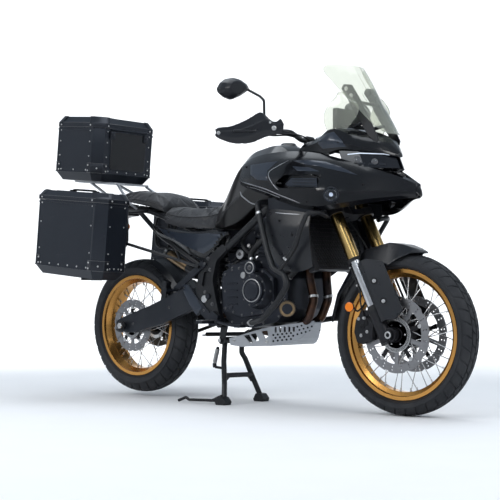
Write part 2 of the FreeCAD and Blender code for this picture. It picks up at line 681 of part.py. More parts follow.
def swingarm():
    """A pair of deep box arms joined by a pivot tube and a cross web, with axle slots at the rear."""
    inner = swingarm_half_width - swingarm_thickness / 2.0
    outer = swingarm_half_width + swingarm_thickness / 2.0
    a = rear_axle
    outline = [(a.x - 52.0, a.z - 30.0), (a.x - 58.0, a.z + 18.0), (a.x - 30.0, a.z + 34.0), (180.0, 440.0),
               (400.0, 520.0), (pivot_x, pivot_z + 34.0), (pivot_x + 28.0, pivot_z), (pivot_x, pivot_z - 34.0),
               (430.0, 415.0), (250.0, 352.0), (60.0, a.z - 32.0)]
    right = side_plate(outline, -outer, -inner, 12.0)
    left_outline = [(a.x - 52.0, a.z - 30.0), (a.x - 58.0, a.z + 18.0), (a.x - 30.0, a.z + 30.0), (200.0, 420.0),
                    (400.0, 474.0), (pivot_x, pivot_z + 34.0), (pivot_x + 28.0, pivot_z), (pivot_x, pivot_z - 34.0),
                    (430.0, 415.0), (250.0, 352.0), (60.0, a.z - 32.0)]
    left = side_plate(left_outline, inner, outer, 12.0)
    barrel = Part.makeCylinder(32.0, 2 * outer, V(pivot_x, -outer, pivot_z), V(0, 1, 0))
    web = side_plate([(440.0, 418.0), (440.0, 462.0), (470.0, 474.0), (500.0, 462.0), (500.0, 418.0)], -inner - 4.0,
                     inner + 4.0, 6.0)
    arm = fused([right, left, barrel, web])
    slot = fused([Part.makeCylinder(axle_radius + seat_gap, 400.0, V(a.x - 14.0, -200.0, a.z), V(0, 1, 0)),
                  Part.makeCylinder(axle_radius + seat_gap, 400.0, V(a.x, -200.0, a.z), V(0, 1, 0)),
                  block(a.x - 14.0, a.x, -200.0, 200.0, a.z - axle_radius - seat_gap, a.z + axle_radius + seat_gap)])
    pivot_hole = Part.makeCylinder(12.0 + seat_gap, 400.0, V(pivot_x, -200.0, pivot_z), V(0, 1, 0))
    arm = arm.cut(slot).cut(pivot_hole)
    chain_pass = block(pivot_x - 60.0, pivot_x + 40.0, chain_y - 12.0, chain_y + 12.0, pivot_z - 60.0, pivot_z + 60.0)
    arm = arm.cut(chain_pass)
    shaft = Part.makeCylinder(axle_radius, 2 * outer + 40.0, V(a.x, -outer - 20.0, a.z), V(0, 1, 0))
    nuts = [Part.makeCylinder(17.0, 16.0, V(a.x, s * (outer + 8.5) - 8.0, a.z), V(0, 1, 0)) for s in (-1.0, 1.0)]
    pivot_half = frame_plate_y + frame_plate_thickness + 8.0
    pivot_shaft = Part.makeCylinder(12.0, 2 * pivot_half, V(pivot_x, -pivot_half, pivot_z), V(0, 1, 0))
    return {"swingarm": [arm, fused([shaft] + nuts), pivot_shaft]}


front_sprocket = V(660.0, 0, 470.0)


def drive_chain():
    """Roller chain as one closed loop of links round both sprockets."""
    y = chain_y
    first, second = rear_axle, front_sprocket
    r1, r2 = sprocket_radius, front_sprocket_radius
    along = V(second.x - first.x, 0, second.z - first.z)
    span = along.Length
    direction = math.atan2(along.z, along.x)
    spread = math.acos((r1 - r2) / span)

    def loop(extra, y0, y1):
        a1, a2 = direction + spread, direction - spread
        ra, rb = r1 + extra, r2 + extra

        def at(centre, radius, angle):
            return V(centre.x + radius * math.cos(angle), y0, centre.z + radius * math.sin(angle))
        edges = [
            Part.LineSegment(at(first, ra, a1), at(second, rb, a1)).toShape(),
            Part.Arc(at(second, rb, a1), at(second, rb, direction), at(second, rb, a2)).toShape(),
            Part.LineSegment(at(second, rb, a2), at(first, ra, a2)).toShape(),
            Part.Arc(at(first, ra, a2), at(first, ra, direction + math.pi), at(first, ra, a1)).toShape(),
        ]
        return Part.Face(Part.Wire(edges)).extrude(V(0, y1 - y0, 0))

    inner_gap = 4.6
    side_plates = loop(7.5, y - chain_width / 2.0, y + chain_width / 2.0)
    side_plates = side_plates.cut(loop(-6.0, y - chain_width, y + chain_width))
    groove = loop(20.0, y - inner_gap, y + inner_gap).cut(loop(4.6, y - inner_gap, y + inner_gap))
    groove = groove.fuse(loop(3.6, y - inner_gap, y + inner_gap).cut(loop(-20.0, y - inner_gap, y + inner_gap)))
    small_wheel = toothed_ring(front_sprocket, chain_y, front_sprocket_radius, 17, 12.0 + seat_gap)
    return {"drive_chain": [side_plates.cut(groove), small_wheel]}


def rear_shock():
    """A coil-over shock between the arms, and its reservoir slung under the right rail of the subframe."""
    low = V(470.0, 0, 482.0)
    high = V(520.0, 0, 770.0)
    up = (high - low).normalize()
    parts = [rod(low, low + up * 160.0, 14.0), rod(low + up * 130.0, high, 26.0),
             Part.makeCylinder(16.0, 30.0, low - V(0, 15.0, 0), V(0, 1, 0)),
             Part.makeCylinder(16.0, 30.0, high - V(0, 15.0, 0), V(0, 1, 0))]
    turns, coil_radius, wire_radius, pitch = 6, 38.0, 6.5, 30.0
    helix = Part.makeHelix(pitch, pitch * turns, coil_radius)
    ring = Part.Wire([Part.makeCircle(wire_radius, V(coil_radius, 0, 0), V(0, 1, 0))])
    spring = Part.Wire(helix.Edges).makePipeShell([ring], True, True)
    spring.rotate(V(0, 0, 0), V(0, 1, 0), math.degrees(math.atan2(up.x, up.z)))
    spring.translate(low + up * 40.0)
    cup_low = rod(low + up * 24.0, low + up * 33.2, 46.0)
    cup_high = rod(low + up * 226.8, low + up * 238.0, 46.0)
    reservoir = rod((232.0, -85.0, 686.0), (436.0, -85.0, 581.0), 23.0)
    bracket = rod((330.0, -85.0, 636.0), (330.0, -130.0, 712.0), 8.0)
    return {"rear_shock": [fused(parts + [cup_low, cup_high]), spring, fused([reservoir, bracket])]}


def foot_rests():
    """Rider pegs on the frame plates and passenger pegs on hangers, with heel guards."""
    outer = frame_plate_y + frame_plate_thickness + seat_gap
    peg = block(596.0, 634.0, outer + 14.0, outer + 96.0, 362.0, 374.0)
    for i in range(5):
        notch = block(602.0, 628.0, outer + 24.0 + 14.0 * i, outer + 31.0 + 14.0 * i, 360.0, 376.0)
        peg = peg.cut(notch)
    foot = side_plate([(600, 352), (650, 352), (655, 395), (620, 420), (596, 395)], outer, outer + 18.0, 8.0)
    guard = side_plate([(520, 392), (470, 440), (430, 500), (425, 545), (470, 535), (515, 480), (560, 430)],
                       outer, outer + 5.0, 10.0)
    arm = side_plate([(505, 430), (598, 360), (622, 384), (530, 470)], outer, outer + 5.0, 6.0)
    hanger = side_plate([(548, 640), (584, 626), (420, 520), (392, 500), (372, 520)], outer, outer + 10.0, 8.0)
    rear_peg = block(372.0, 402.0, outer + 10.0, outer + 82.0, 504.0, 516.0)
    one = fused([peg, foot, guard, arm, hanger, rear_peg])
    return {"foot_rests": both_sides(one) + pedals()}


def pedals():
    outer = frame_plate_y + frame_plate_thickness + 2 * seat_gap
    brake = tube([(660.0, -outer - 26.0, 372.0), (720.0, -outer - 34.0, 360.0), (800.0, -outer - 40.0, 352.0)], 6.0,
                 [0, 30.0, 0])
    pad = block(790.0, 826.0, -outer - 62.0, -outer - 26.0, 348.0, 360.0)
    pin = Part.makeCylinder(8.0, 26.0, V(660.0, -outer - 30.0, 372.0), V(0, 1, 0))
    shift = tube([(660.0, outer + 26.0, 392.0), (730.0, outer + 30.0, 372.0), (800.0, outer + 32.0, 366.0)], 5.0,
                 [0, 30.0, 0])
    toe = Part.makeCylinder(9.0, 40.0, V(800.0, outer + 26.0, 366.0), V(0, 1, 0))
    pin_left = Part.makeCylinder(8.0, 26.0, V(660.0, outer + 4.0, 392.0), V(0, 1, 0))
    return [fused([brake, pad, pin]), fused([shift, toe, pin_left])]


def centre_stand():
    """Two curved legs on a common pivot tube, with a brace, rounded shoes, a foot lever and a return spring."""
    pivot = V(stand_pivot_x, 0, stand_pivot_z)
    parts = [Part.makeCylinder(15.0, 2 * stand_leg_y, pivot - V(0, stand_leg_y, 0), V(0, 1, 0))]
    foot_x, foot_y = stand_foot_x, stand_foot_y
    knee_x = stand_pivot_x + 6.0
    right = [(pivot.x, -stand_leg_y + 15.0, pivot.z), (knee_x, -stand_leg_y, 190.0), (knee_x + 4.0, -stand_leg_y, 90.0),
             (foot_x - 2.0, -foot_y + 6.0, 22.0)]
    left = [(pivot.x, 30.0, pivot.z), (pivot.x, 28.0, 226.0), (pivot.x, 54.0, 196.0), (knee_x, 92.0, 120.0),
            (foot_x - 2.0, foot_y - 4.0, 22.0)]
    parts.append(tube(right, stand_tube_radius, [0, 80.0, 50.0, 0]))
    parts.append(tube(left, stand_tube_radius, [0, 24.0, 60.0, 90.0, 0]))
    shoe = [(-28.0, 0), (22.0, 0), (30.0, 14.0), (10.0, 36.0), (-18.0, 38.0), (-34.0, 10.0)]
    for side in (-1.0, 1.0):
        outline = [(foot_x + a, b) for a, b in shoe]
        parts.append(side_plate(outline, side * foot_y - 21.0, side * foot_y + 21.0, [4.0, 4.0, 8.0, 12.0, 12.0, 4.0]))
    parts.append(rod((knee_x, -stand_leg_y, 128.0), (knee_x, 90.0, 124.0), 11.0))
    for y0, y1 in ((-stand_leg_y, -58.0), (88.0, 60.0)):
        corners = [(knee_x - 5.0, y0, 128.0), (knee_x - 5.0, y1, 122.0), (knee_x - 5.0, y0, 92.0)]
        parts.append(Part.Face(profile_wire(corners)).extrude(V(10.0, 0, 0)))
    gusset = side_plate([(foot_x - 12.0, 6.0), (foot_x - 8.0, 46.0), (foot_x - 64.0, 24.0), (foot_x - 64.0, 12.0)],
                        -foot_y - 6.0, -foot_y + 4.0, 2.0)
    lever = [(foot_x - 50.0, -foot_y - 2.0, 17.0), (440.0, -foot_y - 18.0, 14.0), (420.0, -foot_y - 20.0, 24.0),
             (380.0, -foot_y - 26.0, 8.0)]
    parts += [gusset, tube(lever, 6.5, [0, 12.0, 10.0, 0])]
    spring_y = -stand_leg_y - 24.0
    parts.append(rod((593.0, spring_y, 256.0), (570.0, spring_y, 176.0), 6.5))
    parts.append(rod((571.0, spring_y, 182.0), (574.0, spring_y, 164.0), 9.0))
    parts.append(rod((574.0, spring_y, 166.0), (knee_x, -stand_leg_y, 160.0), 6.0))
    bore = Part.makeCylinder(8.0 + running_gap, 400.0, pivot - V(0, 200.0, 0), V(0, 1, 0))
    floor = block(0, 1200.0, -400.0, 400.0, -60.0, 0.0)
    stand = fused(parts).cut(bore).cut(floor)
    pin = Part.makeCylinder(8.0, 2 * (stand_leg_y + 22.0), pivot - V(0, stand_leg_y + 22.0, 0), V(0, 1, 0))
    lugs = []
    for side in (-1.0, 1.0):
        y0 = side * (stand_leg_y + 5.0)
        lug = side_plate([(586, 268), (614, 268), (640, 360), (604, 372)], min(y0, y0 + side * 8.0),
                         max(y0, y0 + side * 8.0), 10.0)
        lugs.append(lug)
    ties = [rod((618.0, side * (stand_leg_y + 2.0), 352.0), (618.0, side * (frame_plate_y - seat_gap), 352.0), 10.0)
            for side in (-1.0, 1.0)]
    return {"centre_stand": [stand], "stand_brackets": [fused(lugs + [pin] + ties)]}


side_stand_axis = V(0.017, 0.935, 0.354)


def side_stand():
    """A prop on the left, folded back under the machine, with a flat foot."""
    pivot = V(side_stand_x, side_stand_y, side_stand_z)
    backward = V(-1.0, 0.03, -0.03).normalize()
    tip = pivot + backward * side_stand_length
    parts = [rod(pivot, tip, 10.0), rod(pivot - V(0, 9.0, 3.4), pivot + V(0, 9.0, 3.4), 19.0)]
    foot = block(tip.x - 26.0, tip.x + 20.0, tip.y - 4.0, tip.y + 46.0, tip.z - 8.0, tip.z - 1.0)
    parts.append(foot)
    mount = rod((side_stand_x, side_stand_y - 10.0, side_stand_z - 3.6), (618.0, frame_plate_y - seat_gap - 8.0, 352.0),
                11.0)
    boss = rod(pivot - V(0, 22.0, 8.3), pivot - V(0, 10.4, 3.9), 17.0)
    space = rod(pivot - V(0, 9.9, 3.7), pivot + V(0, 30.0, 11.3), 21.0)
    bracket = fused([boss, mount]).cut(space)
    return {"side_stand": [fused(parts)], "prop_bracket": [bracket]}


# Engine, radiator and exhaust

def engine():
    w = engine_half_width
    case_outline = [(640, 420), (636, 560), (690, 618), (790, 640), (985, 640), (1015, 560), (1012, 430), (950, 372),
                    (820, 346), (700, 352)]
    crankcase = side_plate(case_outline, -w, w, 18.0)
    fin_gap = 7.0
    block_outline = [(800, 640), (985, 640), (1008, 790), (826, 800)]
    barrel = side_plate(block_outline, -block_half_width, block_half_width, 8.0)
    head_outline = [(806, 740), (1022, 730), (1030, 812), (1000, 850), (850, 862), (812, 830)]
    head = side_plate(head_outline, -block_half_width - 14.0, block_half_width + 14.0, 10.0)
    case = fused([crankcase, barrel, head])
    grooves = []
    for i in range(5):
        z = 652.0 + 16.0 * i
        grooves.append(block(780.0, 1040.0, block_half_width - 10.0, block_half_width + 30.0, z, z + fin_gap))
        grooves.append(block(780.0, 1040.0, -block_half_width - 30.0, -block_half_width + 10.0, z, z + fin_gap))
    case = case.cut(Part.makeCompound(grooves))
    chain_room = block(600.0, 706.0, chain_y - 16.0, w + 5.0, 400.0, 530.0)
    shaft = Part.makeCylinder(12.0, 34.0, front_sprocket + V(0, 68.0, 0), V(0, 1, 0))
    case = case.cut(chain_room).fuse(shaft)
    covers = []
    flange = [(672, 420), (668, 590), (760, 616), (900, 600), (958, 560), (962, 450), (900, 408), (780, 392)]
    right = side_plate(flange, -w - 26.0, -w - seat_gap, 16.0)
    dome = Part.makeCone(clutch_radius + 8.0, clutch_radius - 4.0, cover_depth - 24.0,
                         V(clutch_x, -w - 24.0, clutch_z), V(0, -1, 0))
    ring = Part.makeCylinder(clutch_radius - 16.0, cover_depth - 14.0, V(clutch_x, -w - 24.0, clutch_z), V(0, -1, 0))
    pump = Part.makeCylinder(34.0, 48.0, V(842.0, -w - 0.5, 606.0), V(0, -1, 0))
    covers.append(fused([right, dome, ring, pump]))
    left_flange = [(740, 410), (738, 590), (820, 610), (930, 590), (962, 540), (950, 450), (890, 404)]
    left = side_plate(left_flange, w + seat_gap, w + 26.0, 16.0)
    left_dome = Part.makeCone(clutch_radius, clutch_radius - 14.0, 34.0, V(868.0, w + 24.0, 508.0), V(0, 1, 0))
    covers.append(fused([left, left_dome]))
    can = rod((992.0, -120.0, 432.0), (1032.0, -172.0, 430.0), 34.0)
    neck = rod((966.0, -92.0, 433.0), (992.0, -120.0, 432.0), 24.0)
    filter_can = fused([can, neck]).cut(crankcase)
    return {"engine_block": [case], "engine_covers": covers + [filter_can]}


def radiator():
    low = V(1197.0, 0, 596.0)
    high = V(1131.0, 0, 806.0)
    up = (high - low).normalize()
    back = V(-up.z, 0, up.x)
    thickness = 32.0
    half = 178.0

    def slab(y0, y1, start, end, near, far):
        corners = [low + up * start + back * near, low + up * end + back * near,
                   low + up * end + back * far, low + up * start + back * far]
        wire = profile_wire([(c.x, y0, c.z) for c in corners])
        return Part.Face(wire).extrude(V(0, y1 - y0, 0))

    tall = (high - low).Length
    core = slab(-half, half, 0, tall, 4.0, thickness - 4.0)
    tanks = [slab(side * half - 14.0, side * half + 14.0, -6.0, tall + 6.0, 0, thickness) for side in (-1.0, 1.0)]
    bars = [slab(-half, half, tall * i / 12.0, tall * i / 12.0 + 4.0, 0.5, 8.0) for i in range(13)]
    body = fused([core] + tanks + bars)
    fan = rod(low + up * (tall / 2.0) + back * (thickness - 6.0), low + up * (tall / 2.0) + back * (thickness + 28.0),
              88.0)
    return {"radiator": [fused([body, fan])]}


def radiator_shrouds():
    """Flat dark covers at the radiator's ends, tucked under the fairings."""
    stations = [
        (950.0, [(206, 852), (216, 800), (216, 740), (204, 690)]),
        (1030.0, [(212, 848), (224, 780), (224, 680), (210, 604)]),
        (1110.0, [(214, 838), (228, 770), (226, 680), (208, 584)]),
        (1190.0, [(214, 826), (224, 770), (218, 700), (200, 606)]),
    ]
    panel = band_along_x(stations, panel_thickness)
    stay = rod((1140.0, 188.0, 700.0), (1140.0, 222.0, 700.0), 8.0)
    return {"radiator_shrouds": both_sides(fused([panel, stay]))}


def exhaust():
    """Two header pipes down the front of the engine, a collector below and a link pipe to the silencer."""
    parts = []
    for y in (-62.0, 62.0):
        pipe = [(1020.0, y, 764.0), (1058.0, y, 744.0), (1064.0, y * 0.95, 560.0), (1080.0, y * 0.8, 470.0),
                (1046.0, y * 0.7, 390.0), (980.0, 0.4 * y, 338.0)]
        parts.append(tube(pipe, 19.0, [0, 26.0, 60.0, 60.0, 50.0, 0]))
    parts.append(rod((990.0, 0, 340.0), (900.0, 0, 318.0), 38.0))
    parts.append(tube([(920.0, 0, 318.0), (800.0, 60.0, 306.0), (700.0, 196.0, 310.0), (560.0, 214.0, 326.0),
                       (478.0, 206.0, 382.0)], 24.0, [0, 70.0, 70.0, 80.0, 0]))
    return parts


def exhaust_system():
    engine_room = engine()["engine_block"][0]
    pipes = fused(exhaust()).cut(engine_room)
    start, end = V(480.0, 206.0, 382.0), V(20.0, 226.0, 478.0)
    axis = (end - start).normalize()
    wires = []
    for share, radius in ((0.0, 30.0), (0.12, 52.0), (0.5, 54.0), (0.93, 50.0), (1.0, 42.0)):
        centre = start + (end - start) * share
        wires.append(Part.Wire([Part.makeCircle(radius, centre, axis)]))
    can = loft(wires)
    outlet = rod(end - axis * 4.0, end + axis * 30.0, 20.0).cut(rod(end, end + axis * 40.0, 16.0))
    silencer = fused([can, outlet])
    return {"exhaust_pipes": [pipes.cut(silencer)], "silencer": [silencer]}


def bash_plate():
    """A folded aluminium tray under the engine: wide behind, drawn in to a raised nose, with slots."""
    t = plate_thickness
    wide = 150.0
    under = [(690, 268), (750, 262), (925, 270), (985, 284), (1016, 302), (1046, 336), (1066, 368)]
    rim_line = [(1058, 378), (916, 351), (874, 344), (736, 309), (684, 298)]
    plan = [(600, wide), (925, wide), (1000, 78), (1064, 22)]

    def room(inset):
        half = [(x - inset * 0.5, y - inset) for x, y in plan]
        points = half + [(x, -y) for x, y in reversed(half)]
        wire = profile_wire([(x, y, 200.0) for x, y in points])
        return Part.Face(wire).extrude(V(0, 0, 300.0))

    outer = side_plate(under + rim_line, -wide - 10.0, wide + 10.0).common(room(0.0))
    raised = [(x - (t if z > 275 else 0.0), z + t) for x, z in under]
    raised[0] = (620, 268 + t)
    hollow = side_plate(raised + [(1062, 440), (620, 440)], -wide - 10.0, wide + 10.0).common(room(t))
    tray = outer.cut(hollow)
    holes = [[(767, 312), (801, 316), (824, 281), (804, 281)], [(807, 318), (838, 323), (858, 293), (841, 288)],
             [(870, 332), (904, 336), (910, 312), (893, 300)]]
    cuts = [side_plate(hole, -wide - 15.0, wide + 15.0, 3.0) for hole in holes]
    for i in range(5):
        x = 936.0 + 14.0 * i
        cuts.append(side_plate([(x, 352), (x + 6, 352), (x + 6, 328 + i), (x, 327 + i)], -wide - 15.0, wide + 15.0, 2.0))
    for i in range(4):
        cuts.append(Part.makeCylinder(7.0, 40.0, V(800.0 + 40 * i, 0.0, 250.0), V(0, 0, 1)))
    return {"bash_plate": [tray.cut(Part.makeCompound(cuts))]}


def crash_bars():
    """Tubular guards round each side of the engine and up under the fairing."""
    parts = []
    r = crash_tube_radius
    lower = [(800.0, 146.0, 366.0), (880.0, 228.0, 370.0), (968.0, 262.0, 386.0), (1053.0, 268.0, 455.0),
             (1114.0, 270.0, 530.0), (1090.0, 264.0, 574.0), (1026.0, 257.0, 600.0), (986.0, 250.0, 680.0),
             (946.0, 242.0, 792.0), (922.0, 238.0, 880.0), (936.0, 182.0, 886.0)]
    parts.append(tube(lower, r, [0, 60.0, 60.0, 90.0, 34.0, 30.0, 50.0, 200.0, 200.0, 20.0, 0]))
    front = [(1063.0, 261.0, 590.0), (1153.0, 270.0, 686.0), (1195.0, 280.0, 768.0), (1230.0, 286.0, 822.0),
             (1256.0, 240.0, 826.0), (1250.0, 182.0, 812.0)]
    parts.append(tube(front, r - 2.0, [0, 90.0, 90.0, 20.0, 20.0, 0]))
    return {"crash_bars": both_sides(fused(parts))}


# Tank, seats and panels

def fuel_tank():
    """A tall tank that falls away in front so that the bar can swing over it."""
    stations = [
        (586.0, [(0, 900), (70, 892), (112, 868), (140, 800), (138, 784), (0, 784)]),
        (640.0, [(0, 960), (76, 952), (122, 922), (158, 826), (150, 784), (0, 784)]),
        (700.0, [(0, 1056), (84, 1048), (132, 1006), (176, 868), (158, 792), (0, 792)]),
        (762.0, [(0, 1118), (90, 1108), (148, 1056), (188, 900), (150, 820), (0, 820)]),
        (830.0, [(0, 1138), (92, 1128), (160, 1076), (198, 940), (150, 864), (0, 864)]),
        (900.0, [(0, 1148), (92, 1138), (168, 1082), (203, 956), (148, 888), (0, 888)]),
        (955.0, [(0, 1132), (90, 1122), (170, 1074), (205, 960), (140, 900), (0, 900)]),
        (1000.0, [(0, 1070), (88, 1062), (164, 1040), (200, 962), (110, 930), (0, 930)]),
        (1040.0, [(0, 1004), (86, 1000), (160, 990), (192, 962), (96, 955), (0, 955)]),
    ]
    tank = solid_along_x(stations)
    frame_room = fused([frame_tube(side, frame_tube_radius + 3.0) for side in (-1.0, 1.0)])
    neck = Part.makeCylinder(34.0, 16.0, V(900.0, 0, 1140.0), V(0, 0, 1))
    return {"fuel_tank": [fused([tank, neck]).cut(frame_room)]}


def seats():
    rider = [
        (257.3, [(0, 908), (80, 904), (126, 874), (136, 822), (0, 822)]),
        (330.0, [(0, 890), (84, 886), (140, 858), (152, 803), (0, 803)]),
        (430.0, [(0, 884), (86, 880), (148, 850), (158, 789), (0, 789)]),
        (520.0, [(0, 886), (84, 882), (142, 850), (160, 784), (0, 784)]),
        (585.7, [(0, 902), (66, 896), (108, 862), (134, 784), (0, 784)]),
    ]
    pillion = [
        (-96.0, [(0, 968), (70, 962), (104, 944), (106, 936), (0, 936)]),
        (30.0, [(0, 984), (96, 978), (138, 950), (140, 922), (0, 922)]),
        (160.0, [(0, 972), (104, 966), (150, 936), (150, 898), (0, 898)]),
        (226.0, [(0, 960), (96, 952), (142, 922), (142, 880), (0, 880)]),
        (257.0, [(0, 930), (88, 922), (130, 896), (130, 866), (0, 866)]),
    ]
    return {"rider_seat": [solid_along_x(rider)], "pillion_seat": [solid_along_x(pillion)]}


def side_panels():
    """Three-cornered covers below the rider's seat, from the frame plates back to a point under the tail."""
    stations = [
        (205.0, [(142, 812), (146, 806), (146, 800), (143, 795)]),
        (300.0, [(148, 797), (158, 788), (158, 762), (150, 746)]),
        (400.0, [(152, 783), (168, 771), (168, 726), (158, 704)]),
        (540.0, [(152, 779), (176, 764), (176, 690), (164, 656)]),
        (620.0, [(148, 778), (178, 762), (178, 722), (170, 704)]),
        (700.0, [(142, 776), (174, 767), (174, 760), (168, 752)]),
    ]
    panel = band_along_x(stations, panel_thickness - 1.0)
    stay = rod((440.0, 138.0, 660.0), (440.0, 163.0, 712.0), 7.0)
    return {"side_panels": both_sides(fused([panel, stay]))}


def fairings():
    stations = [
        (806.0, [(168, 1072), (196, 1046), (212, 1010), (222, 986), (214, 966)]),
        (900.0, [(180, 1090), (216, 1052), (246, 996), (254, 952), (234, 932)]),
        (1040.0, [(184, 1094), (228, 1052), (268, 976), (272, 910), (246, 886)]),
        (1180.0, [(180, 1080), (226, 1040), (276, 940), (278, 862), (244, 842)]),
        (1300.0, [(168, 1050), (208, 1014), (262, 916), (260, 850), (226, 836)]),
        (1380.0, [(140, 1022), (172, 992), (216, 906), (212, 864), (176, 850)]),
        (1450.0, [(96, 996), (118, 968), (144, 908), (142, 878), (112, 866)]),
        (1520.0, [(48, 966), (58, 946), (72, 908), (70, 888), (52, 878)]),
        (1578.0, [(16, 938), (18, 926), (21, 906), (20, 892), (14, 880)]),
    ]
    panel = band_along_x(stations, panel_thickness)
    recess = side_plate([(1088, 986), (1270, 980), (1262, 916), (1072, 932), (1044, 950)], 240.0, 300.0, 10.0)
    panel = panel.cut(recess)
    back = side_plate([(1030, 1024), (1120, 1018), (1200, 985), (1270, 962), (1278, 900), (1062, 916), (1016, 950)],
                      232.0, 238.0, 10.0)
    ties = [rod((1052.0, 234.0, 956.0), (1030.0, 268.0, 952.0), 8.0)]
    posts = [rod((870.0, 170.0, 1000.0), (870.0, 222.0, 1010.0), 9.0),
             rod((980.0, 180.0, 980.0), (980.0, 257.0, 988.0), 9.0)]
    return {"side_fairings": both_sides(fused([panel, back] + ties + posts))}


def nose():
    """The upper cowl with a wing back along each fairing and a brow over the lamps, and the beak below them."""
    cowl = solid_along_x([
        (1098.0, [(0, 1110), (140, 1110), (160, 1106), (171, 1099), (167, 1080), (0, 1078)]),
        (1150.0, [(0, 1134), (140, 1134), (158, 1128), (172, 1112), (166, 1070), (0, 1068)]),
        (1190.0, [(0, 1150), (110, 1150), (152, 1144), (174, 1120), (166, 1068), (0, 1068)]),
        (1250.0, [(0, 1172), (118, 1176), (172, 1168), (188, 1124), (176, 1072), (0, 1072)]),
        (1304.0, [(0, 1180), (108, 1180), (166, 1164), (184, 1112), (174, 1084), (0, 1084)]),
        (1360.0, [(0, 1170), (84, 1162), (132, 1134), (152, 1100), (150, 1080), (0, 1080)]),
        (1426.0, [(0, 1144), (52, 1136), (82, 1112), (98, 1084), (98, 1072), (0, 1070)]),
        (1466.0, [(0, 1108), (26, 1102), (42, 1088), (54, 1072), (54, 1062), (0, 1060)]),
        (1490.0, [(0, 1074), (8, 1071), (12, 1068), (16, 1062), (16, 1054), (0, 1052)]),
    ])
    fork_room = block(1100.0, 1262.0, -140.0, 140.0, 900.0, 1120.0)
    bar_room = block(1080.0, 1190.0, -146.0, 146.0, 900.0, 1300.0)
    cowl = cowl.cut(fork_room).cut(bar_room)
    beak = solid_along_x([
        (1400.0, [(0, 1000), (116, 990), (124, 980), (0, 978)]),
        (1470.0, [(0, 988), (86, 972), (94, 958), (0, 954)]),
        (1536.0, [(0, 962), (42, 948), (46, 930), (0, 924)]),
        (1576.0, [(0, 938), (16, 930), (18, 906), (0, 896)]),
        (1592.0, [(0, 908), (6, 904), (8, 892), (0, 884)]),
    ])
    return {"nose_cowl": [cowl, beak]}


def headlamps():
    """A lamp unit at each side of the nose, and a round auxiliary lamp in each fairing."""
    outline = [(1316, 166), (1392, 132), (1462, 62), (1488, 12), (1456, 12), (1420, 56), (1370, 96), (1306, 118)]
    wire_low = profile_wire([(x + 12.0, y, 1006.0) for x, y in outline], 3.0)
    wire_high = profile_wire([(x - 18.0, y, 1079.0) for x, y in outline], 3.0)
    one = loft([wire_low, wire_high])
    lamp = rod((1290.0, 216.0, 893.0), (1330.0, 258.0, 893.0), 30.0)
    lamp = lamp.cut(rod((1325.0, 252.75, 893.0), (1340.0, 268.5, 893.0), 25.0))
    return {"headlamps": both_sides(one) + both_sides(lamp)}


def windscreen():
    """A clear screen, curved across and swept back, with a small deflector at each lower corner."""
    stations = [
        (1150.0, 1470.0, 46.0, 10.0),
        (1215.0, 1425.0, 96.0, 34.0),
        (1290.0, 1380.0, 118.0, 56.0),
        (1344.0, 1351.0, 134.0, 78.0),
        (1400.0, 1318.0, 148.0, 92.0),
        (1436.0, 1295.0, 144.0, 90.0),
        (1450.0, 1286.0, 126.0, 74.0),
    ]
    wires = []
    for z, x, half, sweep in stations:
        line = []
        for i in range(9):
            share = -1.0 + 2.0 * i / 8.0
            line.append((x - sweep * share * share, half * share))
        wires.append(profile_wire([(a, b, z) for a, b in band(line, -screen_thickness)]))
    screen = loft(wires)
    wires = []
    corners = [
        (1160.0, 1232.0, 150.0, 1306.0, 136.0),
        (1220.0, 1216.0, 158.0, 1352.0, 118.0),
        (1255.0, 1226.0, 158.0, 1362.0, 114.0),
        (1290.0, 1252.0, 150.0, 1346.0, 118.0),
        (1326.0, 1278.0, 142.0, 1310.0, 130.0),
    ]
    for z, back, back_y, front, front_y in corners:
        line = [(back, back_y), ((back + front) / 2.0, (back_y + front_y) / 2.0 + 10.0), (front, front_y)]
        wires.append(profile_wire([(a, b, z) for a, b in band(line, screen_thickness)]))
    deflector = loft(wires)
    return {"windscreen": [screen] + both_sides(deflector)}


def instrument_mount():
    """The rider's display on its bridge, and a broad arm at each side that carries the screen."""
    display = block(1212.0, 1232.0, -84.0, 84.0, 1182.0, 1272.0)
    bridge = block(1224.0, 1290.0, -60.0, 60.0, 1160.0, 1200.0)
    arm_outline = [(1252, 1350), (1264, 1368), (1303, 1361), (1342, 1302), (1394, 1212), (1436, 1130), (1428, 1104),
                   (1392, 1104), (1384, 1150), (1330, 1226), (1284, 1304)]
    arms = []
    for side in (-1.0, 1.0):
        ends = sorted((side * 76.0, side * 83.0))
        arms.append(side_plate(arm_outline, ends[0], ends[1], 5.0))
        arms.append(rod((1280.0, side * 50.0, 1184.0), (1362.0, side * 78.0, 1200.0), 8.0))
        arms.append(tube([fork_point(640.0, -8.0, side * 18.0), fork_point(640.0, 118.0, side * 18.0),
                          (1300.0, side * 30.0, 1076.0), (1264.0, side * 50.0, 1178.0)], 9.0, [0, 40.0, 40.0, 0]))
    arms.append(rod((1318.0, -80.0, 1290.0), (1318.0, 80.0, 1290.0), 7.0))
    post = block(1252.0, 1292.0, -66.0, 66.0, 1170.0, 1192.0)
    return {"instrument_mount": [fused([display, bridge, post] + arms)]}


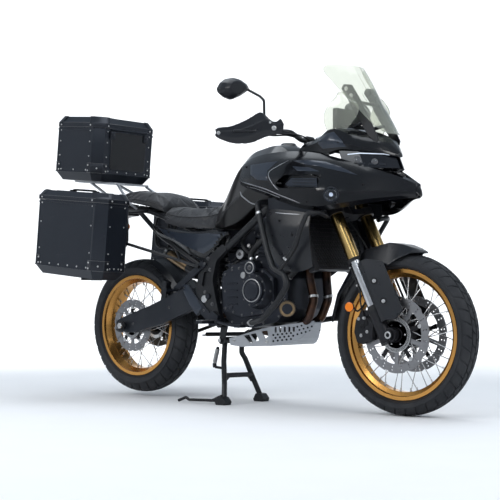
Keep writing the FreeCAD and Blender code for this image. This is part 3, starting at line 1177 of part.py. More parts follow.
def rear_mudguard():
    """A hugger over the rear tyre and the hanger for the plate and lamps behind it."""
    inner = rear_tyre_radius + 14.0

    def section(degrees, half, skirt):
        angle = math.radians(degrees)
        line = [(-half, inner - skirt), (-half * 0.8, inner + 4.0), (0, inner + 10.0), (half * 0.8, inner + 4.0),
                (half, inner - skirt)]
        return profile_wire([(rear_axle.x + r * math.cos(angle), y, rear_axle.z + r * math.sin(angle))
                             for y, r in band(line, 4.0)])

    hugger = loft([section(d, 80.0 - abs(d - 45.0) * 0.12, 22.0) for d in (16.0, 30.0, 43.0, 56.0, 68.0)])
    stays = []
    for side in (-1.0, 1.0):
        inner_face = swingarm_half_width - swingarm_thickness / 2.0 - seat_gap
        ends = sorted((side * (inner_face - 5.0), side * inner_face))
        stays.append(side_plate([(200, 410), (236, 410), (250, 500), (226, 520)], ends[0], ends[1]))
        ends = sorted((side * 77.0, side * inner_face))
        stays.append(side_plate([(214, 492), (246, 492), (252, 548), (226, 560)], ends[0], ends[1]))
    hanger = solid_along_x([
        (-108.0, [(0, 936), (60, 932), (80, 904), (60, 876), (0, 876)]),
        (-200.0, [(0, 922), (56, 918), (74, 892), (56, 862), (0, 862)]),
        (-250.0, [(0, 896), (50, 890), (60, 866), (44, 838), (0, 838)]),
    ])
    tail = side_plate([(-236, 870), (-250, 872), (-352, 650), (-356, 560), (-346, 558), (-338, 650)], -34.0, 34.0, 4.0)
    plate = block(-360.1, -356.3, -95.0, 95.0, 560.0, 690.0)
    lamp = block(-270.0, -251.0, -46.0, 46.0, 850.0, 884.0)
    indicators = []
    for side in (-1.0, 1.0):
        stalk = rod((-246.0, side * 30.0, 838.0), (-252.0, side * 104.0, 832.0), 6.0)
        bulb = rod((-266.0, side * 100.0, 832.0), (-240.0, side * 118.0, 832.0), 15.0)
        indicators.append(fused([stalk, bulb]))
    return {"rear_hugger": [fused([hugger] + stays)], "tail_hanger": [fused([hanger, tail] + indicators), plate],
            "tail_lamp": [lamp]}


# Luggage

def chamfered_outline(length, width, cut):
    a, b = length / 2.0, width / 2.0
    return [(a - cut, b), (a, b - cut), (a, -b + cut), (a - cut, -b), (-a + cut, -b), (-a, -b + cut), (-a, b - cut),
            (-a + cut, b)]


def case_body(length, width, height, taper):
    """An open box with cut corners and a sloping foot, walls of one thickness."""
    def shape(inset, floor):
        rings = []
        for z, shrink in ((0.0 + floor, taper), (taper * 1.3, 0.0), (height + (1.0 if inset else 0.0), 0.0)):
            outline = chamfered_outline(length - 2 * inset - 2 * shrink, width - 2 * inset - 2 * shrink,
                                        max(case_corner - inset * 0.6 - shrink * 0.4, 6.0))
            rings.append(profile_wire([(x, y, z) for x, y in outline]))
        return loft(rings, True)
    return shape(0.0, 0.0).cut(shape(case_wall, case_wall))


def case_lid(length, width, height, taper):
    """A lid with chamfered top edges, hollow below."""
    def shape(inset, roof):
        rings = []
        for z, shrink in ((-1.0 if inset else 0.0, 0.0), (height * 0.45, 0.0), (height - roof, taper)):
            outline = chamfered_outline(length - 2 * inset - 2 * shrink, width - 2 * inset - 2 * shrink,
                                        max(case_corner - inset * 0.6 - shrink * 0.4, 6.0))
            rings.append(profile_wire([(x, y, z) for x, y in outline]))
        return loft(rings, True)
    return shape(0.0, 0.0).cut(shape(case_wall, case_wall))


def hinged(case, lid, middle, along, length):
    """Join a lid to its case with a barrel hinge: the outer knuckles are the lid's, the middle one the case's."""
    third = length / 3.0
    start = middle - along * (length / 2.0)
    for at in (start, start + along * (2.0 * third)):
        case = case.cut(Part.makeCylinder(hinge_radius + hinge_gap, third, at, along))
        lid = lid.fuse(Part.makeCylinder(hinge_radius, third - 2 * hinge_gap, at + along * hinge_gap, along))
    start = start + along * third
    lid = lid.cut(Part.makeCylinder(hinge_radius + hinge_gap, third, start, along))
    case = case.fuse(Part.makeCylinder(hinge_radius, third - 2 * hinge_gap, start + along * hinge_gap, along))
    return case, lid


def luggage():
    nodes = {}
    total = pannier_height + lid_gap + pannier_lid_height
    centre_y = pannier_inner_y + pannier_width / 2.0
    middle = V(pannier_x, 0, pannier_z)
    body = case_body(pannier_length, pannier_width, pannier_height, 30.0)
    body.translate(V(pannier_x, centre_y, pannier_z - total / 2.0))
    lid = case_lid(pannier_length + 4.0, pannier_width + 4.0, pannier_lid_height, 18.0)
    lid_base = pannier_z - total / 2.0 + pannier_height + lid_gap
    lid.translate(V(pannier_x, centre_y, lid_base))
    body, lid = hinged(body, lid, V(pannier_x, pannier_inner_y - 2.0, lid_base), V(1, 0, 0), pannier_length * 0.6)
    body = tilted_about(body, middle, case_tilt)
    lid = tilted_about(lid, middle, case_tilt)
    nodes["pannier_cases"] = both_sides(body)
    nodes["pannier_lid_left"] = [lid]
    nodes["pannier_lid_right"] = [mirrored(lid)]
    total = top_case_height + lid_gap + top_case_lid_height
    middle = V(top_case_x, 0, top_case_z)
    body = case_body(top_case_length, top_case_width, top_case_height, 30.0)
    body.translate(V(top_case_x, 0, top_case_z - total / 2.0))
    lid = case_lid(top_case_length, top_case_width, top_case_lid_height, 22.0)
    lid_base = top_case_z - total / 2.0 + top_case_height + lid_gap
    lid.translate(V(top_case_x, 0, lid_base))
    body, lid = hinged(body, lid, V(top_case_x + top_case_length / 2.0, 0, lid_base), V(0, 1, 0), top_case_width * 0.6)
    nodes["top_case"] = [tilted_about(body, middle, case_tilt)]
    nodes["top_case_lid"] = [tilted_about(lid, middle, case_tilt)]
    return nodes


def tilted_point(centre, dx, y, dz):
    """A point given in a tilted case's own directions."""
    angle = math.radians(case_tilt)
    return V(centre.x + dx * math.cos(angle) + dz * math.sin(angle), y,
             centre.z - dx * math.sin(angle) + dz * math.cos(angle))


def luggage_rack():
    """An aluminium carrier plate with slots, on struts from the subframe."""
    middle = V(top_case_x, 0, top_case_z)
    total = top_case_height + lid_gap + top_case_lid_height
    top = -total / 2.0 - seat_gap
    outline = [(-120, -80), (-150, -50), (-150, 50), (-120, 80), (60, 110), (210, 110), (250, 80), (250, -80),
               (210, -110), (60, -110)]
    wire = profile_wire([(top_case_x + x, y, top_case_z + top - rack_plate_thickness) for x, y in outline], 14.0)
    plate = Part.Face(wire).extrude(V(0, 0, rack_plate_thickness))
    cuts = []
    for i in range(5):
        x = top_case_x - 90.0 + 64.0 * i
        cuts.append(block(x, x + 34.0, -60.0, 60.0, top_case_z + top - 20.0, top_case_z + top + 20.0))
    plate = plate.cut(Part.makeCompound(cuts))
    plate = tilted_about(plate, middle, case_tilt)
    under = top - rack_plate_thickness
    struts = []
    for side in (-1.0, 1.0):
        a = tilted_point(middle, 214.0, side * 96.0, under)
        b = tilted_point(middle, 20.0, side * 92.0, under)
        foot = (40.0, side * 150.0, 926.0)
        struts.append(rod(a, foot, 7.0))
        struts.append(rod(foot, (60.0, side * 112.0, 898.0), 7.0))
        struts.append(tube([foot, (-60.0, side * 128.0, 930.0), tuple(b)], 7.0, [0, 30.0, 0]))
    return {"luggage_rack": [fused([plate] + struts)]}


def pannier_frames():
    """A tube hoop inside each side case, braced to the subframe, with a hook plate for the case."""
    y = pannier_inner_y - 12.0
    hoop = tube([(150.0, y, 800.0), (150.0, y, 700.0), (-190.0, y, 730.0), (-190.0, y, 896.0), (150.0, y, 866.0),
                 (150.0, y, 790.0)], 7.0, [0, 40.0, 40.0, 40.0, 40.0, 0])
    arms = [rod((130.0, y, 868.0), (140.0, 116.0, 882.0), 7.0), rod((-150.0, y, 892.0), (-118.0, 96.0, 920.0), 7.0),
            rod((150.0, y, 724.0), (392.0, 186.0, 650.0), 7.0), rod((392.0, 186.0, 650.0), (540.0, 194.0, 612.0), 7.0)]
    hooks = [block(-160.0, 120.0, y + 5.0, y + 11.4, 770.0, 800.0)]
    ties = [rod((x, y, 722.0 - 0.088 * (x + 100.0)), (x, y, 880.0 - 0.088 * x), 6.0) for x in (-100.0, 80.0)]
    return {"pannier_frames": both_sides(fused([hoop] + arms + hooks + ties))}


# Each piece here is cut back round the pieces that are listed after it
gives_way = [
    ("main_frame", ["engine_block", "radiator"]),
    ("subframe", ["main_frame"]),
    ("side_panels", ["subframe"]),
    ("fuel_tank", ["main_frame", "subframe", "side_panels"]),
    ("side_fairings", ["fuel_tank", "headlamps", "crash_bars"]),
    ("instrument_mount", ["windscreen", "main_frame"]),
    ("headlamps", ["instrument_mount"]),
    ("nose_cowl", ["instrument_mount", "side_fairings", "headlamps", "windscreen"]),
    ("rider_seat", ["side_panels", "fuel_tank", "subframe", "rear_shock"]),
    ("pillion_seat", ["side_panels", "luggage_rack"]),
    ("tail_hanger", ["tail_lamp", "subframe"]),
    ("stand_brackets", ["main_frame"]),
    ("prop_bracket", ["main_frame", "stand_brackets"]),
    ("pannier_frames", ["foot_rests", "subframe", "side_panels"]),
    ("rear_shock", ["subframe"]),
    ("radiator_shrouds", ["radiator"]),
    ("bash_plate", ["exhaust_pipes"]),
    ("luggage_rack", ["subframe"]),
    ("swingarm", ["rear_shock"]),
    ("crash_bars", ["main_frame", "engine_block"]),
    ("mirrors", ["controls"]),
    ("hand_guards", ["controls"]),
    ("front_calipers", ["fork_lowers"]),
]


def largest(shape):
    return max(shape.Solids, key=lambda solid: solid.Volume)


def all_nodes():
    makers = [front_wheel, rear_wheel, fork, handlebar, controls, hand_guards, mirrors, front_mudguard, fork_guards,
              front_calipers, main_frame, subframe, swingarm, drive_chain, rear_shock, foot_rests, centre_stand,
              side_stand, engine, radiator, radiator_shrouds, exhaust_system, bash_plate, crash_bars, fuel_tank,
              seats, side_panels, fairings, nose, headlamps, windscreen, instrument_mount, rear_mudguard, luggage,
              luggage_rack, pannier_frames]
    nodes = {}
    for maker in makers:
        nodes.update(maker())
    for name, others in gives_way:
        room = Part.makeCompound([solid for other in others for solid in nodes[other]])
        nodes[name] = [largest(solid.cut(room)) for solid in nodes[name]]
    return nodes


def main():
    os.makedirs("parts", exist_ok=True)
    shift = V(-middle_x, 0, 0)
    for name, solids in all_nodes().items():
        loose = []
        for shape in solids:
            loose += shape.Solids
        whole = Part.makeCompound(loose) if len(loose) > 1 else loose[0]
        whole.translate(shift)
        if not whole.isValid():
            print("not valid:", name)
        whole.exportStep(os.path.join("parts", name + ".step"))


if __name__ == "__main__":
    main()
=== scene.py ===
"""Finishes and fine detail for the adventure motorcycle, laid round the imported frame."""

import json
import math

import bmesh
import bpy
from mathutils import Matrix, Vector


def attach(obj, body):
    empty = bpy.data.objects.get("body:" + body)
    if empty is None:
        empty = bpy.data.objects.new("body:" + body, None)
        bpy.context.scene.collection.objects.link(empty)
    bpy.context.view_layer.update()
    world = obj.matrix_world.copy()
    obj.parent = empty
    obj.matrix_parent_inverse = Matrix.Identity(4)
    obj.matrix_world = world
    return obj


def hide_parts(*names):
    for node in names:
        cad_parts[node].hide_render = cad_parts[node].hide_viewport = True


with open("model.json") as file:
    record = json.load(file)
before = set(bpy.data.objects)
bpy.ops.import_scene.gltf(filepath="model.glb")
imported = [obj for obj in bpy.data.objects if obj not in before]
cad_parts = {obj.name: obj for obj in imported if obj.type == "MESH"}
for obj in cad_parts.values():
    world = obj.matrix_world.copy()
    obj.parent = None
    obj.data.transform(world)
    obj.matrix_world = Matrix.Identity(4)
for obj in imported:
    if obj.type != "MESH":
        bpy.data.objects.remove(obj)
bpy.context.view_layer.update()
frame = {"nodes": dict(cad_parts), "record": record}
nodes = frame["nodes"]

# Pieces are drawn in millimetres with x forward from the rear axle, y to the rider's left and z up
middle_x = 691.5
to_frame = Matrix.Scale(0.001, 4) @ Matrix.Translation((-middle_x, 0, 0))
wheelbase = 1513
front_radius, rear_radius, rear_lift = 329.5, 321, 20
front_axle = Vector((wheelbase, 0, front_radius))
rear_axle = Vector((0, 0, rear_radius + rear_lift))
rake = math.radians(26)
fork_spacing = 105
axle_lead = 28
fork_up = Vector((-math.sin(rake), 0, math.cos(rake)))
fork_forward = Vector((math.cos(rake), 0, math.sin(rake)))


def fork_point(along, forward=0, side=0):
    """A point by its distance up the fork, ahead of the tubes' plane and out to the side."""
    return front_axle + fork_forward * (forward - axle_lead) + fork_up * along + Vector((0, side, 0))


# Shader building


class Value:
    """A shader socket that takes part in ordinary arithmetic; each operation adds one Math node."""

    def __init__(self, finish, socket):
        self.finish = finish
        self.socket = socket

    def math(self, operation, *others):
        """A Math node fed by this socket and the others."""
        return self.finish.node("ShaderNodeMath", {"operation": operation}, [self, *others])

    def __add__(self, other):
        return self.math("ADD", other)

    def __sub__(self, other):
        return self.math("SUBTRACT", other)

    def __mul__(self, other):
        return self.math("MULTIPLY", other)

    def __truediv__(self, other):
        return self.math("DIVIDE", other)

    def __radd__(self, other):
        return self + other

    def __rmul__(self, other):
        return self * other

    def __rsub__(self, other):
        return self.finish.node("ShaderNodeMath", {"operation": "SUBTRACT"}, [other, self])

    def clamp(self):
        """Kept between zero and one."""
        return self.math("MAXIMUM", 0).math("MINIMUM", 1)

    def above(self, edge, soft=0.05):
        """Zero below the edge and one above it, with a soft step between."""
        return ((self - edge) / soft + 0.5).clamp()


class Finish:
    """One material: a Principled shader and the nodes that feed it."""

    def __init__(self, name, **constants):
        self.material = bpy.data.materials.new(name)
        self.material.use_nodes = True
        self.tree = self.material.node_tree
        self.tree.nodes.clear()
        output = self.tree.nodes.new("ShaderNodeOutputMaterial")
        self.shader = self.tree.nodes.new("ShaderNodeBsdfPrincipled")
        self.tree.links.new(self.shader.outputs[0], output.inputs["Surface"])
        self.place = self.node("ShaderNodeTexCoord", {}, {}, "Object")
        for key, value in constants.items():
            self.set(key.replace("_", " ").title().replace("Ior", "IOR"), value)

    def node(self, kind, settings, inputs, output=0):
        """Add a node, set its options first and its sockets after, and hand back one of its outputs."""
        made = self.tree.nodes.new(kind)
        for key, value in settings.items():
            if key == "stops":
                elements = made.color_ramp.elements
                while len(elements) < len(value):
                    elements.new(0.5)
                for element, (position, colour) in zip(elements, value):
                    element.position = position
                    element.color = (*colour, 1)
            else:
                setattr(made, key, value)
        pairs = inputs.items() if isinstance(inputs, dict) else enumerate(inputs)
        for key, value in pairs:
            if isinstance(value, Value):
                self.tree.links.new(value.socket, made.inputs[key])
            elif isinstance(value, tuple) and len(made.inputs[key].default_value) == 4:
                made.inputs[key].default_value = (*value, 1)
            else:
                made.inputs[key].default_value = value
        return Value(self, made.outputs[output])

    def set(self, name, value):
        """Feed one of the shader's sockets from a Value, a colour or a number."""
        socket = self.shader.inputs[name]
        if isinstance(value, Value):
            self.tree.links.new(value.socket, socket)
        elif isinstance(value, tuple):
            socket.default_value = (*value, 1)
        else:
            socket.default_value = value

    def noise(self, scale, detail=3, rough=0.55, stretch=None):
        """Cloudy noise in the object's own metres, stretched where asked."""
        place = self.place
        if stretch:
            place = self.node("ShaderNodeMapping", {}, {"Vector": place, "Scale": stretch})
        return self.node("ShaderNodeTexNoise", {}, {"Vector": place, "Scale": scale, "Detail": detail,
                                                    "Roughness": rough})

    def cells(self, scale):
        """The distance to the middle of the nearest cell."""
        return self.node("ShaderNodeTexVoronoi", {"feature": "F1"}, {"Vector": self.place, "Scale": scale})

    def mix(self, share, first, second):
        """The first colour running into the second by a share."""
        return self.node("ShaderNodeMix", {"data_type": "RGBA"}, {0: share, 6: first, 7: second}, 2)

    def bump(self, height, strength, distance, edge=0.0012):
        """Surface relief over edges that are softened by a small radius."""
        inputs = {"Strength": strength, "Distance": distance, "Height": height}
        if edge:
            inputs["Normal"] = self.node("ShaderNodeBevel", {"samples": 4}, {"Radius": edge})
        self.set("Normal", self.node("ShaderNodeBump", {}, inputs))


def tinted(tone, share):
    """The tone made darker or lighter by a share."""
    return tuple(min(c * share, 1) for c in tone)


def rubber(name, tone=(0.016, 0.017, 0.020)):
    """Fine-pored rubber with road dust in its hollows."""
    made = Finish(name, metallic=0, specular_ior_level=0.28)
    dust = made.noise(7, 6).above(0.55, 0.3)
    made.set("Base Color", made.mix(dust * 0.45, tone, (0.050, 0.050, 0.052)))
    made.set("Roughness", 0.50 + made.noise(45) * 0.30)
    made.bump(made.noise(700, 2) + made.noise(120) * 0.6, 0.30, 0.0006)
    return made


def anodised(name, tone, rough):
    """Coloured oxide over smooth aluminium, with a slow drift in tone."""
    made = Finish(name, metallic=1)
    drift = made.noise(4, 2)
    made.set("Base Color", made.mix(drift, tone, tinted(tone, 0.85)))
    made.set("Roughness", rough + made.noise(30, 2) * 0.10)
    made.bump(made.noise(300, 1), 0.02, 0.0003)
    return made


def hub_and_spokes(name, axle):
    """Bright wire spokes round a black hub: the change lies a little outside the hub's flanges."""
    made = Finish(name, metallic=0.9)
    centre = tuple(to_frame @ axle)
    away = made.node("ShaderNodeVectorMath", {"operation": "SUBTRACT"}, [made.place, centre])
    flat = made.node("ShaderNodeVectorMath", {"operation": "MULTIPLY"}, [away, (1, 0, 1)])
    reach = made.node("ShaderNodeVectorMath", {"operation": "LENGTH"}, [flat], 1)
    wire = reach.above(0.050, 0.004)
    made.set("Base Color", made.mix(wire, (0.020, 0.020, 0.022), (0.56, 0.56, 0.56)))
    made.set("Roughness", 0.34 - wire * 0.12 + made.noise(60) * 0.08)
    made.bump(made.noise(400), 0.08, 0.0003, 0)
    return made


def steel(name, tone, rough):
    """Bare metal with a fine streak that darkens and dulls it."""
    made = Finish(name, metallic=1)
    streak = made.noise(60, 5, 0.6)
    made.set("Base Color", made.mix(streak, tinted(tone, 0.66), tone))
    made.set("Roughness", rough + streak * 0.22)
    made.bump(streak, 0.10, 0.0004)
    return made


def casting(name, tone, rough, metal=0.3):
    """A painted casting: a fine sandy skin with faint drift in tone and a film of road dust."""
    made = Finish(name, metallic=metal, specular_ior_level=0.32)
    skin = made.noise(560, 3)
    drift = made.noise(6, 5)
    dust = made.noise(3, 6, 0.7).above(0.62, 0.2)
    made.set("Base Color", made.mix(dust * 0.18, made.mix(drift, tone, tinted(tone, 1.35)), (0.10, 0.10, 0.10)))
    made.set("Roughness", rough + skin * 0.12 + drift * 0.10)
    made.bump(skin, 0.22, 0.0004)
    return made


def gloss(name, tone, rough=0.20, flake=0):
    """Sprayed colour under clear lacquer, with a hint of orange peel and fine dust."""
    made = Finish(name, metallic=flake, coat_weight=0.35, coat_roughness=0.10, specular_ior_level=0.22)
    dust = made.noise(3, 6, 0.7)
    made.set("Base Color", made.mix(dust.above(0.6, 0.3) * 0.2, tone, tinted(tone, 2)))
    made.set("Roughness", rough + dust * 0.10)
    made.bump(made.noise(520, 1), 0.010, 0.0003)
    return made


def moulded(name, tone, rough=0.42):
    """Injection-moulded trim with a fine leathery grain."""
    made = Finish(name, metallic=0, specular_ior_level=0.35)
    made.set("Base Color", made.mix(made.noise(5, 4), tone, tinted(tone, 1.5)))
    made.set("Roughness", rough + made.noise(40) * 0.16)
    made.bump(made.cells(900), 0.18, 0.0004)
    return made


def vinyl(name, tone):
    """Grained seat cover with soft folds."""
    made = Finish(name, metallic=0, sheen_weight=0.15, sheen_roughness=0.5, specular_ior_level=0.35)
    fold = made.noise(16, 3)
    made.set("Base Color", made.mix(fold, tone, tinted(tone, 1.8)))
    made.set("Roughness", 0.40 + fold * 0.2)
    made.bump(made.cells(420) * 0.7 + fold * 1.2, 0.28, 0.0008)
    return made


def powder(name, tone, rough):
    """Powder coat on sheet aluminium: a soft sheen over a fine pebbled skin, with light scuffs."""
    made = Finish(name, metallic=0.35, specular_ior_level=0.4)
    haze = made.noise(7, 5)
    scuff = made.noise(30, 6, 0.75, (0.25, 1, 2.5)).above(0.66, 0.06)
    made.set("Base Color", made.mix(scuff * 0.3, made.mix(haze, tone, tinted(tone, 1.5)), (0.09, 0.09, 0.10)))
    made.set("Roughness", rough + haze * 0.14 + scuff * 0.08)
    made.bump(made.noise(650, 2) + haze * 0.5, 0.16, 0.0005)
    return made


def brushed(name, low, high):
    """Sheet aluminium with brush lines along it."""
    made = Finish(name, metallic=1)
    line = made.noise(30, 6, 0.7, (1, 18, 18))
    made.set("Base Color", made.mix(line, low, high))
    made.set("Roughness", 0.32 + line * 0.20 + made.noise(9) * 0.08)
    made.bump(line, 0.22, 0.0004)
    return made


def heated(name):
    """Header metal browned and blued by heat."""
    made = Finish(name, metallic=1)
    heat = made.noise(10, 4)
    stops = [(0.30, (0.036, 0.024, 0.020)), (0.46, (0.074, 0.040, 0.026)), (0.60, (0.045, 0.034, 0.033)),
             (0.75, (0.095, 0.078, 0.068))]
    made.set("Base Color", made.node("ShaderNodeValToRGB", {"stops": stops}, {"Fac": heat}))
    made.set("Roughness", 0.26 + heat * 0.25)
    made.bump(made.noise(300), 0.1, 0.0004)
    return made


def clear(name, tone, rough=0.02, ior=1.30, share=1):
    """Glass or clear plastic with a faint haze."""
    made = Finish(name, metallic=0, transmission_weight=share, ior=ior)
    haze = made.noise(6, 4)
    made.set("Base Color", made.mix(haze, tone, tinted(tone, 0.93)))
    made.set("Roughness", rough + haze * 0.05)
    return made


def glowing(name, tone, power):
    """A lit diffuser with a fine cell pattern."""
    made = Finish(name, metallic=0, emission_strength=power)
    cell = made.cells(160)
    made.set("Base Color", made.mix(cell, tone, tinted(tone, 0.7)))
    made.set("Emission Color", made.mix(cell, tone, tinted(tone, 0.8)))
    made.set("Roughness", 0.2 + cell * 0.1)
    return made


finishes = {
    "tyre": rubber("tyre_rubber"),
    "gold_rim": anodised("gold_rim", (0.62, 0.31, 0.085), 0.17),
    "wheel_steel": steel("wheel_steel", (0.42, 0.42, 0.42), 0.26),
    "disc_steel": steel("disc_steel", (0.27, 0.27, 0.28), 0.30),
    "gold_fork": anodised("gold_fork", (0.46, 0.31, 0.12), 0.16),
    "dark_cast": casting("dark_casting", (0.007, 0.007, 0.009), 0.30),
    "frame_paint": casting("frame_powder", (0.006, 0.0065, 0.008), 0.30, 0),
    "alloy": casting("swingarm_alloy", (0.016, 0.018, 0.023), 0.28, 0.5),
    "engine_metal": casting("engine_casting", (0.018, 0.020, 0.026), 0.24, 0.6),
    "body_paint": gloss("body_gloss_black", (0.0015, 0.0017, 0.0028)),
    "tank_paint": gloss("tank_black", (0.0030, 0.0027, 0.0030), 0.26),
    "trim_plastic": moulded("trim_black", (0.0065, 0.0072, 0.0095), 0.22),
    "seat_cover": vinyl("seat_vinyl", (0.0060, 0.0062, 0.0078)),
    "case_metal": powder("case_powder", (0.009, 0.0115, 0.017), 0.30),
    "brushed_plate": brushed("brushed_aluminium", (0.26, 0.27, 0.29), (0.46, 0.47, 0.49)),
    "exhaust_steel": heated("exhaust_metal"),
    "screen": clear("clear_screen", (0.76, 0.78, 0.69), 0.02, 1.25, 0.86),
    "lamp_lens": gloss("dark_lamp_glass", (0.006, 0.007, 0.010), 0.04),
    "red_lens": clear("red_lens", (0.60, 0.012, 0.012), 0.06, 1.45),
    "chain_steel": steel("chain_steel", (0.10, 0.09, 0.075), 0.38),
}
# A blue-grey gloss, much lighter than the body paint: on the fairing and the nose cowl it is painted sheen, a painted
# reflection of the sky; on the vent, the side panels and the heel plates it is a lighter tone.
painted_sheen_and_tone = gloss("painted_sheen_and_tone_panel", (0.024, 0.030, 0.042), 0.26, 0.3)
lens_glass = clear("lens_glass", (0.86, 0.89, 0.94), 0.02, 1.40)
chrome = steel("chrome", (0.62, 0.62, 0.63), 0.08)
bright_bolt = steel("zinc_bolt", (0.60, 0.60, 0.60), 0.22)
grey_bolt = steel("dull_bolt", (0.16, 0.16, 0.165), 0.30)
black_bolt = steel("black_bolt", (0.030, 0.030, 0.032), 0.34)
soft_black = rubber("soft_black_rubber", (0.010, 0.010, 0.011))
silver_line = steel("silver_trim", (0.34, 0.35, 0.37), 0.24)
bronze = anodised("bronze_can", (0.24, 0.17, 0.10), 0.28)
amber = moulded("amber_lens", (0.72, 0.17, 0.008), 0.12)
reflector = steel("reflector_bowl", (0.80, 0.80, 0.80), 0.06)
lamp_glow = glowing("lamp_glow", (0.80, 0.88, 1), 0.5)
mirror_glass = steel("mirror_glass", (0.78, 0.80, 0.82), 0.02)
corner_black = casting("corner_black", (0.020, 0.022, 0.027), 0.20, 0.6)

hub_finishes = {"front_hub": hub_and_spokes("front_hub_and_spokes", front_axle),
                "rear_hub": hub_and_spokes("rear_hub_and_spokes", rear_axle)}
for part_row in frame["record"]["subparts"]:
    node = part_row["node"]
    finish = hub_finishes.get(node, finishes[part_row["material_slot"]])
    nodes[node].data.materials.clear()
    nodes[node].data.materials.append(finish.material)


# Shape building


def link(made):
    """Put an object into the scene."""
    bpy.context.scene.collection.objects.link(made)
    return made


def meshes(count):
    """Empty meshes to draw in, one for each piece of a group."""
    return [bmesh.new() for _ in range(count)]


def piece(name, bm, finish, body, slot, sharp=38):
    """Turn drawn geometry into an object in the frame that rides on a body."""
    bm.transform(to_frame)
    bmesh.ops.recalc_face_normals(bm, faces=bm.faces)
    mesh = bpy.data.meshes.new(name)
    bm.to_mesh(mesh)
    bm.free()
    mesh.materials.append(finish.material)
    mesh.shade_smooth()
    mesh.set_sharp_from_angle(angle=math.radians(sharp))
    made = link(bpy.data.objects.new(name, mesh))
    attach(made, body)
    return made


def turns(count, start=0):
    """Angles spaced evenly round one turn."""
    return [start + 2 * math.pi * k / count for k in range(count)]


def wheel_ways(angle):
    """The directions out from a wheel's axle and round it at an angle."""
    return Vector((math.cos(angle), 0, math.sin(angle))), Vector((-math.sin(angle), 0, math.cos(angle)))


def join(bm, rows, closed=True):
    """Skin neighbouring rows of points with quads; closed rows run on to their own first point."""
    for low, high in zip(rows, rows[1:]):
        for i in range(len(low) if closed else len(low) - 1):
            j = (i + 1) % len(low)
            bm.faces.new((low[i], low[j], high[j], high[i]))


def frame_of(direction):
    """Two unit directions square to the given one."""
    direction = Vector(direction).normalized()
    helper = Vector((0, 0, 1)) if abs(direction.z) < 0.9 else Vector((1, 0, 0))
    first = direction.cross(helper).normalized()
    return first, direction.cross(first).normalized()


def turned(bm, start, direction, profile, segments=20):
    """A turned solid about an axis, from (along, radius) points; ends are closed."""
    start, direction = Vector(start), Vector(direction).normalized()
    first, second = frame_of(direction)
    ways = [first * math.cos(angle) + second * math.sin(angle) for angle in turns(segments)]
    rings = [[bm.verts.new(start + direction * along + way * max(radius, 0.05)) for way in ways]
             for along, radius in profile]
    join(bm, rings)
    bm.faces.new(rings[0][::-1])
    bm.faces.new(rings[-1])


def smooth_line(points, steps=8):
    """Points along a smooth curve through the given points."""
    points = [Vector(p) for p in points]
    ends = [points[0] * 2 - points[1]] + points + [points[-1] * 2 - points[-2]]
    line = []
    for a, b, c, d in zip(ends, ends[1:], ends[2:], ends[3:]):
        for k in range(steps):
            t = k / steps
            line.append(0.5 * (2 * b + (c - a) * t + (2 * a - 5 * b + 4 * c - d) * t * t
                               + (3 * b - a - 3 * c + d) * t ** 3))
    line.append(points[-1])
    return line


def piped(bm, points, radius, segments=10, smooth=True, steps=8):
    """A round tube along a line, with closed ends."""
    line = smooth_line(points, steps) if smooth else [Vector(p) for p in points]
    last = len(line) - 1
    first = None
    rings = []
    for i, point in enumerate(line):
        along = (line[min(i + 1, last)] - line[max(i - 1, 0)]).normalized()
        if first is None:
            first = frame_of(along)[0]
        first = (first - along * first.dot(along)).normalized()
        second = along.cross(first)
        rings.append([bm.verts.new(point + (first * math.cos(angle) + second * math.sin(angle)) * radius)
                      for angle in turns(segments)])
    join(bm, rings)
    bm.faces.new(rings[0][::-1])
    bm.faces.new(rings[-1])


def slab(bm, outline, thick, bevel=1):
    """A flat plate from 3-D corner points, given thickness along a vector, with softened edges."""
    thick = Vector(thick)
    low = [bm.verts.new(Vector(p)) for p in outline]
    high = [bm.verts.new(Vector(p) + thick) for p in outline]
    faces = [bm.faces.new(low[::-1]), bm.faces.new(high)]
    count = len(outline)
    for i in range(count):
        j = (i + 1) % count
        faces.append(bm.faces.new((low[i], low[j], high[j], high[i])))
    if bevel:
        edges = list({edge for face in faces for edge in face.edges})
        bmesh.ops.bevel(bm, geom=edges, offset=bevel, segments=2, affect="EDGES", clamp_overlap=True)


def upright(bm, outline, y, thick, bevel=1):
    """A plate that stands across y, from its outline in (x, z)."""
    slab(bm, [(x, y, z) for x, z in outline], (0, thick, 0), bevel)


def brick(bm, centre, size, bevel=2, across=None):
    """A box with softened edges; across gives its own x, y and z directions where it is turned."""
    centre = Vector(centre)
    u, v, w = across or (Vector((1, 0, 0)), Vector((0, 1, 0)), Vector((0, 0, 1)))
    a, b, c = (s / 2 for s in size)
    outline = [centre + u * p + v * q - w * c for p, q in ((-a, -b), (a, -b), (a, b), (-a, b))]
    slab(bm, outline, w * size[2], bevel)


def dome_head(bm, point, outward, radius, tall=None):
    """A domed rivet or button head standing on a surface."""
    tall = tall or radius * 0.55
    profile = [(-1, radius), (0, radius), (tall * 0.5, radius * 0.88), (tall * 0.85, radius * 0.55),
               (tall, radius * 0.15)]
    turned(bm, point, outward, profile, 12)


def cap_bolt(bm, point, outward, radius):
    """A hexagon-socket cap screw on a washer."""
    turned(bm, point, outward, [(-1, radius * 1.5), (0.9, radius * 1.5), (1.3, radius * 1.42)], 18)
    turned(bm, point, outward, [(1, radius), (radius * 0.9, radius), (radius * 1.1, radius * 0.85),
                                (radius * 1.1, radius * 0.5), (radius * 0.55, radius * 0.5)], 18)


shown = dict(nodes)


def skin(target, origin, direction):
    """The first point of a node's or piece's surface met from a point, and its outward direction there."""
    target = shown[target] if isinstance(target, str) else target
    start = to_frame @ Vector(origin)
    back = target.matrix_world.inverted()
    hit, point, normal, _ = target.ray_cast(back @ start, (back.to_3x3() @ Vector(direction)).normalized())
    if not hit:
        return None
    point = to_frame.inverted() @ (target.matrix_world @ point)
    normal = (target.matrix_world.to_3x3() @ normal).normalized()
    return point, (normal if normal.dot(Vector(direction)) < 0 else -normal)


def side_skin(node, x, z, side):
    """Where a level ray from one side meets a node."""
    return skin(node, (x, side * 620, z), (0, -side, 0))


